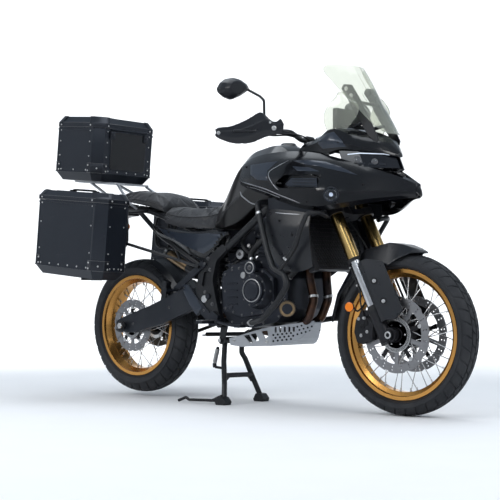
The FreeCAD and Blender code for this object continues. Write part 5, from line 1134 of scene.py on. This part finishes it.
def padded_seat(name, node, seams, channels):
    """A seat whose cover is blown up over its foam and held flat underneath, with its sewn seams."""
    made = bare_copy(name, node)
    foam_depth, most_swell, frames = 0.006, 0.010, 20
    remeshed(made, 0.006)
    start = [v.co - v.normal * foam_depth for v in made.data.vertices]
    lowest = min(point.z for point in start)
    for vert, point in zip(made.data.vertices, start):
        vert.co = point
    held = made.vertex_groups.new(name="held")
    held.add([v.index for v in made.data.vertices if v.normal.z < -0.6 or v.co.z < lowest + 0.012], 1, "REPLACE")
    cloth = made.modifiers.new("cover", "CLOTH")
    cloth.settings.use_pressure = True
    cloth.settings.uniform_pressure_force = 4
    cloth.settings.vertex_group_mass = "held"
    cloth.settings.effector_weights.gravity = 0
    cloth.point_cache.frame_start, cloth.point_cache.frame_end = 1, frames
    for step in range(1, frames + 1):
        bpy.context.scene.frame_set(step)
    settle(made)
    bpy.context.scene.frame_set(1)
    for vert, point in zip(made.data.vertices, start):
        move = vert.co - point
        if move.length > most_swell:
            vert.co = point + move.normalized() * most_swell
    finer = made.modifiers.new("finer", "SUBSURF")
    finer.levels = finer.render_levels = 1
    settle(made)
    stand_in(made, node, "chassis", "seat_cover")
    sewn = bmesh.new()
    for side in (-1, 1):
        line = [point + out * 0.4 for point, out in
                hits(made, [(x, side * 420, z) for x, z in seams], (0, -side, 0))]
        if len(line) > 3:
            piped(sewn, line, 2, 8, True, 4)
    for x, reach in channels:
        for offset in (-4, 4):
            line = [point + out * 0.2 for point, out in
                    hits(made, [(x + offset, reach * k / 8, 1200) for k in range(-8, 9)], (0, 0, -1))]
            if len(line) > 3:
                piped(sewn, line, 1.1, 6, True, 3)
    piece(name + "_seams", sewn, soft_black, "chassis", "seat_cover")


padded_seat("rider_seat_pad", "rider_seat", [(272, 866), (300, 858), (340, 850), (390, 845), (440, 842), (490, 841),
                                             (530, 842), (560, 848), (578, 856)], [(330, 118), (530, 118)])
padded_seat("pillion_seat_pad", "pillion_seat", [(-80, 938), (-40, 942), (0, 944), (50, 942), (100, 936), (160, 926),
                                                 (210, 914), (240, 900)], [(150, 124), (20, 112)])


def flowing(node, slot, angle=32):
    """The same panel with its gentle bends run smoothly into one another and its creases kept."""
    made = bare_copy(node + "_skin", node)
    stand_in(made, node, "chassis", slot)
    made.data.set_sharp_from_angle(angle=math.radians(angle))


def rounded(node, body, slot, voxel, rounds):
    """The same solid with its edges worn round."""
    made = bare_copy(node + "_skin", node)
    remeshed(made, voxel)
    bm = bmesh.new()
    bm.from_mesh(made.data)
    for _ in range(rounds):
        bmesh.ops.smooth_vert(bm, verts=bm.verts, factor=0.5, use_axis_x=True, use_axis_y=True, use_axis_z=True)
    bm.to_mesh(made.data)
    bm.free()
    stand_in(made, node, body, slot)


flowing("side_fairings", "body_paint")
flowing("nose_cowl", "body_paint", 26)
flowing("radiator_shrouds", "trim_plastic")
rounded("fuel_tank", "chassis", "tank_paint", 0.0045, 6)
rounded("mirrors", "steering", "trim_plastic", 0.0026, 5)
rounded("hand_guards", "steering", "trim_plastic", 0.0023, 3)
rounded("front_mudguard", "steering", "trim_plastic", 0.0031, 2)


# Engine and running gear


def coil(bm, start, end, radius, wire, rounds):
    """A close wire coil with straight ends."""
    start, end = Vector(start), Vector(end)
    first, second = frame_of(end - start)
    count = rounds * 12
    line = [start + (end - start) * k / count + (first * math.cos(math.radians(30 * k))
                                                 + second * math.sin(math.radians(30 * k))) * radius
            for k in range(count + 1)]
    piped(bm, line, wire, 6, False)


def hose_clamp(bm, point, along, radius):
    """A band round a hose, with its screw block."""
    turned(bm, point, along, [(-5, radius), (-5, radius + 1.6), (5, radius + 1.6), (5, radius)], 24)
    first, second = frame_of(along)
    brick(bm, Vector(point) + first * (radius + 3), (7, 9, 5), 1, (Vector(along).normalized(), second, first))


cover_bolts = {
    -1: [(684, 430), (680, 505), (681, 578), (722, 598), (762, 604), (896, 588), (944, 554), (952, 505), (950, 456),
           (896, 419), (838, 410), (780, 402), (730, 414)],
    1: [(750, 420), (748, 500), (750, 582), (820, 600), (928, 580), (950, 538), (940, 456), (884, 414), (820, 412)],
}
case_bolts = [(652, 430), (650, 548), (700, 606), (868, 628), (930, 628), (974, 626), (1002, 556), (1000, 470),
              (966, 398), (880, 366), (760, 364), (700, 370)]
head_bolts = [(826, 752), (1008, 744), (1016, 800), (846, 846), (930, 752), (924, 842)]
coolant_hoses = [
    ([(842, -176, 628), (826, -164, 668), (856, -140, 716), (930, -134, 770), (1040, -138, 792),
      (1104, -148, 776)], 13),
    ([(800, -120, 660), (760, -132, 690), (742, -126, 730), (780, -112, 776), (850, -100, 800)], 8),
    ([(1000, -126, 560), (1052, -140, 590), (1096, -152, 620), (1150, -160, 640)], 12),
    ([(1000, 118, 560), (1052, 140, 600), (1096, 152, 650), (1130, 160, 700)], 12),
]
engine_leads = [
    ([(700, -112, 640), (664, -128, 600), (650, -140, 520), (648, -142, 440), (668, -140, 380)], 5),
    ([(712, -116, 644), (676, -132, 596), (660, -146, 520), (660, -146, 420)], 4),
    ([(620, -118, 700), (600, -128, 640), (604, -132, 560), (622, -138, 470)], 4),
    ([(760, -104, 700), (700, -110, 660), (668, -116, 640)], 4),
]


def clutch_cover(bolts, dark, bright):
    """The ring of screws, the bright ring and the three-spoked cap on the clutch cover."""
    x, z = 875, 508
    ring = [(x + math.cos(angle) * 64, -420, z + math.sin(angle) * 64) for angle in turns(10)]
    for point, out in hits("engine_covers", ring, (0, 1, 0)):
        cap_bolt(bolts, point, out, 3)
    face = side_skin("engine_covers", x, z, -1)[0]
    turned(bright, face, (0, -1, 0), [(-0.5, 50), (2, 50), (2.6, 49), (2.6, 46.5), (-0.5, 46)], 48)
    turned(dark, face, (0, -1, 0), [(-0.5, 38), (3, 37), (5, 30), (5.6, 12), (5.6, 2)], 40)
    for angle in turns(3, 0.4):
        radial, across = wheel_ways(angle)
        blade = [face + radial * a + across * b for a, b in ((10, -5), (46, -3), (46, 3), (10, 5))]
        slab(dark, blade, (0, -5, 0), 1.2)


def engine_dress():
    """Cover bolts, clutch cover rings, cylinder studs, sensors, coolant hoses and wiring."""
    bolts, dark, hoses, clamps, bright, filter_can = meshes(6)
    for side, radius in ((-1, 3.6), (1, 4.4)):
        side_bolts(bolts, "engine_covers", cover_bolts[side], side, radius)
        side_bolts(bolts, "engine_block", case_bolts, side, 3.8)
        side_bolts(bolts, "engine_block", head_bolts, side, 5)
    clutch_cover(bolts, dark, bright)
    pump = side_skin("engine_covers", 842, 606, -1)[0]
    turned(bright, pump, (0, -1, 0), [(-0.5, 26), (2, 26), (2.6, 25), (2.6, 22), (-0.5, 21)], 32)
    cap_bolt(bolts, pump, (0, -1, 0), 7)
    # Ribs cast across the gearbox half of the cover
    for z in (446, 476, 506, 536):
        found = side_skin("engine_covers", 724, z, -1)
        if found:
            upright(dark, [(694, z), (756, z), (756, z + 5), (694, z + 5)], found[0].y, -5, 1.4)
    # The filler cap, a sight glass and a pressure switch
    turned(bright, (790, -174, 574), (0, -1, 0), [(-1, 15), (5, 15), (7, 13), (7, 4)], 12)
    turned(dark, (716, -174, 434), (0, -1, 0), [(-1, 11), (2, 11), (3, 9.5), (3, 3)], 24)
    # Throttle bodies, air box and its bolts behind the cylinders
    brick(dark, (690, 0, 736), (190, 150, 88), 12)
    brick(dark, (628, 0, 672), (70, 130, 84), 10)
    for y in (-46, 46):
        turned(bright, (776, y, 716), (1, 0, 0.1), [(0, 25), (30, 25), (36, 22), (40, 20)], 28)
        hose_clamp(clamps, (780, y, 716), (1, 0, 0.1), 25.5)
    for x, z in ((610, 762), (690, 768), (770, 762), (650, 712), (740, 706)):
        for side in (-1, 1):
            cap_bolt(bolts, (x, side * 75, z), (0, side, 0), 4)
    # The oil filter's painted can
    turned(filter_can, (1006, -138, 431.3), (40, -52, -2),
           [(0, 34.2), (1, 34.9), (40, 34.9), (43.5, 32), (44, 24), (42.5, 22), (42.5, 8)], 36)
    # Starter, sensors and coolant pipes on the right
    turned(bright, (724, -84, 668), (0, -1, 0), [(0, 24), (38, 24), (42, 21), (42, 8)], 30)
    cap_bolt(bolts, (724, -126, 668), (0, -1, 0), 6)
    turned(bright, (770, -96, 694), (0.2, -1, 0.4), [(0, 10), (26, 10), (28, 8), (34, 8)], 20)
    for line, radius in coolant_hoses + engine_leads:
        piped(hoses, line, radius, 12)
    for line, radius in coolant_hoses:
        for a, b in ((line[0], line[1]), (line[-1], line[-2])):
            start, onward = Vector(a), (Vector(b) - Vector(a)).normalized()
            hose_clamp(clamps, start + onward * 14, onward, radius + 0.4)
    piece("engine_bolts", bolts, grey_bolt, "chassis", "engine_metal")
    piece("engine_black_details", dark, finishes["engine_metal"], "chassis", "engine_metal")
    piece("oil_filter_can", filter_can, bronze, "chassis", "engine_metal")
    piece("engine_hoses", hoses, soft_black, "chassis", "trim_plastic")
    piece("engine_clamps", clamps, bright_bolt, "chassis", "engine_metal")
    piece("engine_bright_details", bright, finishes["wheel_steel"], "chassis", "engine_metal")


def radiator_dress():
    """A crossed wire guard in front of the core, its wires trimmed to the frame of the core."""
    low, high = Vector((1197, 0, 596)), Vector((1131, 0, 806))
    up = (high - low).normalized()
    front = Vector((up.z, 0, -up.x))
    tall, half, pitch = (high - low).length - 10, 168, 17.6
    wires = bmesh.new()
    for lean in (-0.6, 0.6):
        for k in range(-14, 34):
            start = k * pitch - half
            ends = [max(-half, min(half, y)) for y in (start, start + lean * tall)]
            a, b = (low + up * (5 + (y - start) / lean) + Vector((0, y, 0)) + front * 3 for y in ends)
            if (a - b).length > 6:
                piped(wires, [a, b], 0.9, 5, False)
    piece("radiator_guard", wires, black_bolt, "chassis", "trim_plastic")


def exhaust_dress():
    """Bands where the headers, the link pipe and the silencer join."""
    clamps = bmesh.new()
    for y in (-62, 62):
        hose_clamp(clamps, (1061, y * 0.99, 690), (0, 0, 1), 19.3)
        turned(clamps, (1040, y, 754), (-1, 0, 0.5), [(-6, 19.2), (-6, 28), (6, 28), (6, 19.2)], 24)
        hose_clamp(clamps, (1078, y * 0.82, 482), (-0.2, -y * 0.002, 1), 19.6)
    start, end = Vector((480, 206, 382)), Vector((20, 226, 478))
    for share, radius in ((0.14, 52.6), (0.90, 50.8)):
        turned(clamps, start + (end - start) * share, end - start,
               [(-7, radius), (-7, radius + 1.6), (7, radius + 1.6), (7, radius)], 48)
    piece("exhaust_clamps", clamps, bright_bolt, "chassis", "exhaust_steel")


# Each field of dark discs, painted shade in place of the tray's pierced openings: the way its face looks, its first
# corner, the run of a row, the pitch of the rows, discs in a row and their radius
painted_hole_shade_fields = [
    ((0.69, 0.72, 0), (925, 150, 290), (75, -72, 12), 13, 5, 5),
    ((0.66, 0.75, 0), (1000, 78, 318), (60, -52, 22), 16, 4, 4.6),
]


def undertray_dress():
    """Dark discs on the tray's front faces, painted shade in place of pierced openings, and its mounting bolts."""
    hole_shade_discs, bolts = meshes(2)
    for side in (-1, 1):
        mirror = Vector((1, side, 1))
        for facing, corner, run, pitch, count, radius in painted_hole_shade_fields:
            facing = (Vector(facing) * mirror).normalized()
            for row in range(3):
                shares = ((k + 0.5 + 0.5 * (row % 2)) / (count + 0.5) for k in range(count))
                starts = [(Vector(corner) + Vector(run) * share + Vector((0, 0, pitch * row))) * mirror + facing * 200
                          for share in shares]
                for point, out in hits("bash_plate", starts, -facing):
                    # Each dark disc stands a little proud of the face: painted shade where an opening would be.
                    turned(hole_shade_discs, point, out, [(-1, radius), (0.35, radius), (0.5, radius - 0.4), (0.5, 1)], 6)
        side_bolts(bolts, "bash_plate", [(712, 288), (900, 288)], side, 5)
    piece("tray_painted_hole_shade", hole_shade_discs, black_bolt, "chassis", "brushed_plate")
    piece("tray_bolts", bolts, bright_bolt, "chassis", "brushed_plate")


peg_tooth = [(597, 374), (633, 374), (633, 378.5), (624, 376), (606, 376), (597, 378.5)]


def chassis_dress():
    """Frame and swingarm bolts, axle nuts, the shock's bronze reservoir, peg plates and stand springs."""
    bolts, dark, gold, steel_bits = meshes(4)
    start, end = Vector((232, -85, 686)), Vector((436, -85, 581))
    axis = (end - start).normalized()
    turned(gold, start + axis * 26, axis, [(0, 23.4), (0, 24.2), (132, 24.2), (132, 23.4)], 32)
    turned(steel_bits, start - axis * 7, axis, [(0, 14), (1, 17), (7, 17), (7, 24.4), (20, 24.4)], 24)
    for side in (-1, 1):
        side_bolts(bolts, "main_frame", [(562, 500), (592, 600), (606, 448), (580, 650),
                                         (560, 420)], side, 6)
        side_bolts(bolts, "foot_rests", [(604, 408), (644, 372), (440, 520), (570, 628),
                                         (404, 508)], side, 4.4)
        side_bolts(bolts, "swingarm", [(60, 350), (-44, 322), (300, 430)], side, 4.2)
        found = side_skin("swingarm", 0, 341, side)
        if found:
            turned(dark, found[0], (0, side, 0), [(-1, 24), (2, 24), (3, 22.5), (3, 14)], 32)
            turned(steel_bits, found[0], (0, side, 0), [(0, 15), (13, 15), (14.5, 13), (14.5, 6)], 6)
        found = side_skin("main_frame", 560, 470, side)
        if found:
            turned(steel_bits, found[0], (0, side, 0), [(-1, 17), (4, 17), (6, 15), (6, 8)], 28)
        for k in range(6):
            upright(steel_bits, peg_tooth, side * (198 + 13 * k), side * 3, 0.4)
        for x in (599, 631):
            piped(steel_bits, [(x, side * 193, 376), (x, side * 270, 376)], 2, 8, False)
    piece("chassis_bolts", bolts, grey_bolt, "chassis", "frame_paint")
    piece("chassis_caps", dark, black_bolt, "chassis", "frame_paint")
    piece("shock_reservoir_sleeve", gold, bronze, "chassis", "gold_fork")
    piece("chassis_steel_details", steel_bits, bright_bolt, "chassis", "alloy")


engine_dress()
radiator_dress()
exhaust_dress()
undertray_dress()
chassis_dress()


# Cockpit, lamps and stands


mirror_outline = [(344, 1348), (366, 1329), (403, 1308), (447, 1291), (483, 1297), (517, 1312), (525, 1328),
                  (505, 1355), (476, 1374), (440, 1383), (403, 1380), (363, 1366)]
# Each cable: two steps from the switch housing, then its way along the bar, and its radius
control_cables = [
    ((8, 0, -12), (30, -38, -16), [(1064, 205, 1158), (1072, 130, 1148), (1078, 62, 1134)], 3.6),
    ((14, 0, -6), (52, -42, -8), [(1094, 200, 1162), (1104, 130, 1150), (1092, 56, 1124)], 3.2),
]
guard_screws = [(1079, 314.5, 1177, 6.5), (1064, 322, 1200, 3.2), (900, 458, 1158, 5)]


def bar_side(mirror, grips, cables, bolts, bright, glass):
    """The ribbed grip, the bar end, the cables, the guard's screws and the mirror glass of one side."""
    end, bend = Vector((905, 432, 1168)) * mirror, Vector((1076, 205, 1172)) * mirror
    inward = (bend - end).normalized()
    ribs = [(2, 16.6), (4, 17.6), (10, 17.8)]
    for k in range(17):
        ribs += [(11 + 6 * k, 16.9), (12 + 6 * k, 17.7), (15 + 6 * k, 17.7), (16 + 6 * k, 16.9)]
    turned(grips, end, inward, ribs + [(114, 17.6), (120, 17.6)], 24)
    turned(bright, end - inward * 27, inward, [(0, 8), (1.5, 10), (4, 10.5)], 20)
    housing = end + inward * 165
    for first, second, way, radius in control_cables:
        steps = [housing + Vector(step) * mirror for step in (first, second)]
        piped(cables, steps + [Vector(spot) * mirror for spot in way], radius)
    away = (Vector((0.70, 0.71, -0.05)) * mirror).normalized()
    for x, y, z, radius in guard_screws:
        for point, out in hits("hand_guards", [Vector((x, y, z)) * mirror + away * 200], -away):
            cap_bolt(bolts, point, out, radius)
    middle_y, middle_z, shrink = 434, 1339, 0.90
    slab(glass, [Vector((945.6, middle_y + (y - middle_y) * shrink, middle_z + (z - middle_z) * shrink)) * mirror
                 for y, z in mirror_outline], (-1.6, 0, 0), 0.5)


def cockpit_dress():
    """Ribbed grips, lever screws, cables, mirror glass, guard bolts, the display and the screen's knobs."""
    grips, cables, bolts, bright, glass, knobs, knob_bolts, display, face = meshes(9)
    for side in (-1, 1):
        bar_side(Vector((1, side, 1)), grips, cables, bolts, bright, glass)
        for x, z in ((1279, 1347), (1304, 1316)):
            turned(knob_bolts, (x, side * 83, z), (0, side, 0), [(-1, 9), (3, 9), (4, 8), (4, 3)], 20)
            turned(knobs, (x, side * 76, z), (0, -side, 0), [(-1, 12), (7, 12), (9, 10)], 12)
    turned(bright, (1070, 0, 1160), (-0.44, 0, 0.9), [(0, 17), (6, 17), (8, 15), (8, 6)], 6)
    for bm, x, half, low, high, thick, bevel in ((display, 1211.6, 84, 1182, 1272, -5, 2.4),
                                                 (face, 1206.8, 74, 1192, 1264, -1.6, 0.6)):
        slab(bm, [Vector((x, y, z)) for y, z in ((-half, low), (half, low), (half, high), (-half, high))],
             (thick, 0, 0), bevel)
    piece("grips", grips, soft_black, "steering", "trim_plastic")
    piece("control_cables", cables, soft_black, "steering", "trim_plastic")
    piece("guard_bolts", bolts, bright_bolt, "steering", "trim_plastic")
    piece("screen_knobs", knobs, soft_black, "chassis", "trim_plastic")
    piece("screen_knob_bolts", knob_bolts, bright_bolt, "chassis", "trim_plastic")
    piece("bar_ends", bright, bright_bolt, "steering", "frame_paint")
    piece("mirror_glass", glass, mirror_glass, "steering", "trim_plastic")
    piece("display_bezel", display, corner_black, "chassis", "trim_plastic")
    piece("display_face", face, finishes["body_paint"], "chassis", "lamp_lens")


def headlamp_dress():
    """Lens barrels and stepped vanes on each headlamp's face, and a light strip along its upper edge."""
    lenses, barrels, strip, vanes = meshes(4)
    for side in (-1, 1):
        facing = Vector((0.66, side * 0.70, 0.28)).normalized()
        across = facing.cross(Vector((0, 0, 1))).normalized()
        rise = across.cross(facing).normalized()

        def seen(spots):
            """The lamp's surface behind each spot, as seen from in front."""
            return hits("headlamps", [Vector((x, side * y, z)) + facing * 160 for x, y, z in spots], -facing)

        for spot, radius in (((1376, 138, 1040), 15), ((1430, 97, 1032), 13)):
            for point, _ in seen([spot]):
                turned(barrels, point - facing, facing,
                       [(0, radius), (3, radius), (4, radius - 1.5), (4, radius - 4)], 28)
                turned(lenses, point + facing * 1.5, facing,
                       [(0, radius - 4), (3, radius - 6), (4.6, radius - 10), (5, 1)], 28)
        line = [point + out * 0.8 for point, out in
                seen([(1338 + 9.4 * k, 156 - 7.8 * k, 1064) for k in range(15)])]
        if len(line) > 3:
            piped(strip, line, 2, 8, True, 2)
        for point, out in seen([(1350 + 32 * k, 150 - 27 * k, 1018) for k in range(4)]):
            brick(vanes, point + out * 0.4, (26, 10, 3), 1, (across, rise, facing))
    piece("headlamp_lenses", lenses, lens_glass, "chassis", "lamp_lens", sharp=60)
    piece("headlamp_barrels", barrels, grey_bolt, "chassis", "lamp_lens")
    piece("headlamp_strips", strip, lamp_glow, "chassis", "lamp_lens")
    piece("headlamp_vanes", vanes, corner_black, "chassis", "trim_plastic")


def tail_dress():
    """Red lamp ribs, amber indicator glasses, a bare plate's screws and a red reflector."""
    red, amber_glass, bolts = meshes(3)
    for k in range(5):
        brick(red, (-271.5, 0, 856 + 5.6 * k), (3, 86, 3.6), 1)
    turned(red, (-362.4, 0, 572), (-1, 0, 0), [(-1, 13), (1.4, 13), (2.2, 11.5), (2.4, 4)], 28)
    for side in (-1, 1):
        start, end = Vector((-266, side * 100, 832)), Vector((-240, side * 118, 832))
        for point, out in ((start, start - end), (end, end - start)):
            turned(amber_glass, point, out, [(-2, 13), (0.5, 13), (3.5, 11), (5, 6), (5.4, 1)], 24)
        dome_head(bolts, (-360, side * 62, 668), (-1, 0, 0), 5)
    piece("tail_lamp_ribs", red, finishes["red_lens"], "chassis", "red_lens")
    piece("indicator_glasses", amber_glass, amber, "chassis", "lamp_lens")
    piece("plate_screws", bolts, bright_bolt, "chassis", "trim_plastic")


def stands_dress():
    """The centre stand's spring and the heads of its pins."""
    spring, caps = meshes(2)
    coil(spring, (591, -123, 249), (572, -123, 186), 9, 1.7, 15)
    for side in (-1, 1):
        turned(caps, (600, side * 122, 285), (0, side, 0), [(-1, 9.5), (3, 9.5), (4, 8), (4, 3)], 6)
    piece("centre_stand_spring", spring, bright_bolt, "centre_stand", "frame_paint")
    piece("stand_pin_heads", caps, bright_bolt, "chassis", "frame_paint")


def bar_clamp_dress():
    """Silver clamps that join the crash bars' two tubes."""
    clamps = bmesh.new()
    for side in (-1, 1):
        for point, along, radius in (((1104, side * 266, 640), (0.70, 0.06 * side, 0.74), 11.4),
                                     ((880, side * 228, 370), (0.80, 0.4 * side, 0.1), 13.4),
                                     ((934, side * 240, 836), (-0.3, -0.04 * side, 0.95), 13)):
            hose_clamp(clamps, point, along, radius)
    piece("crash_bar_clamps", clamps, bright_bolt, "chassis", "frame_paint")


cockpit_dress()
headlamp_dress()
tail_dress()
stands_dress()
bar_clamp_dress()


# Studio


def lamp(name, place, aim_at, size, power, tone=(1, 1, 1)):
    """A soft rectangular lamp, in metres and watts."""
    light = bpy.data.lights.new(name, "AREA")
    light.shape = "RECTANGLE"
    light.size, light.size_y = size
    light.energy = power
    light.color = tone
    made = link(bpy.data.objects.new(name, light))
    made.location = place
    made.rotation_euler = (Vector(aim_at) - Vector(place)).to_track_quat("-Z", "Y").to_euler()


def sweep_floor():
    """A pale floor that curves up into a pale wall all round."""
    bm = bmesh.new()
    flat, bend = 7.5, 3
    sweep = [(r, 0) for r in (0.02, 1.5, 3, 5, flat)]
    sweep += [(flat + bend * math.sin(a), bend - bend * math.cos(a)) for a in (0.2 * k for k in range(1, 8))]
    sweep += [(10.5, 3.3), (10.5, 5)]
    rings = [[bm.verts.new((radius * math.cos(a), radius * math.sin(a), height))
              for a in (math.radians(5 * i) for i in range(72))] for radius, height in sweep]
    join(bm, [ring[::-1] for ring in rings])
    bm.faces.new(rings[0])
    mesh = bpy.data.meshes.new("studio_floor")
    bm.to_mesh(mesh)
    bm.free()
    mesh.shade_smooth()
    paper = Finish("pale_paper", metallic=0, specular_ior_level=0.1)
    paper.set("Base Color", paper.mix(paper.noise(3), (0.86, 0.86, 0.86), (0.82, 0.82, 0.825)))
    paper.set("Roughness", 0.75 + paper.noise(8) * 0.1)
    mesh.materials.append(paper.material)
    link(bpy.data.objects.new("studio_floor", mesh))


def photo_camera():
    """The camera that was fitted to the photo, by its focal length and picture width in pixels."""
    focal_pixels, width_pixels = 1251.22, 500
    data = bpy.data.cameras.new("photo_camera")
    data.sensor_fit = "HORIZONTAL"
    data.sensor_width = 36
    data.lens = data.sensor_width * focal_pixels / width_pixels
    camera = link(bpy.data.objects.new("photo_camera", data))
    yaw, pitch = math.radians(130.959), math.radians(1.896)
    look = Vector((math.cos(yaw) * math.cos(pitch), math.sin(yaw) * math.cos(pitch), math.sin(pitch)))
    camera.location = to_frame @ Vector((4373.6, -4260.9, 503.7))
    camera.rotation_euler = look.to_track_quat("-Z", "Y").to_euler()
    bpy.context.scene.camera = camera


def studio():
    """The floor, the pale blue air, the soft lamps and the camera."""
    sweep_floor()
    world = bpy.data.worlds.new("studio_air")
    world.use_nodes = True
    background = world.node_tree.nodes["Background"]
    background.inputs["Color"].default_value = (0.74, 0.86, 1, 1)
    background.inputs["Strength"].default_value = 0.55
    bpy.context.scene.world = world
    cool = (0.90, 0.95, 1)
    lamp("overhead_box", (0, 0.5, 4.4), (0, 0, 0.6), (4.4, 2.2), 90, cool)
    lamp("overhead_strip", (0.4, -3.4, 2.7), (0.1, 0, 0.8), (4.6, 0.40), 30, cool)
    lamp("side_box", (-1.5, -4.6, 3), (0, 0, 0.6), (3, 1), 80, (1, 0.98, 0.95))
    lamp("front_box", (4.6, -0.6, 3), (0.3, 0, 0.6), (1.6, 1.6), 60)
    lamp("wall_wash_left", (-2.2, 3.6, 3.6), (-7, 7, 1.2), (3, 1), 200)
    lamp("wall_wash_middle", (-3.6, 1.2, 3.8), (-9.5, 2.5, 1), (3, 1), 200)
    lamp("wall_wash_right", (0.6, 3.8, 3.8), (-1.5, 9.8, 1), (3, 1), 200)
    photo_camera()
    bpy.context.scene.view_settings.view_transform = "Standard"


studio()
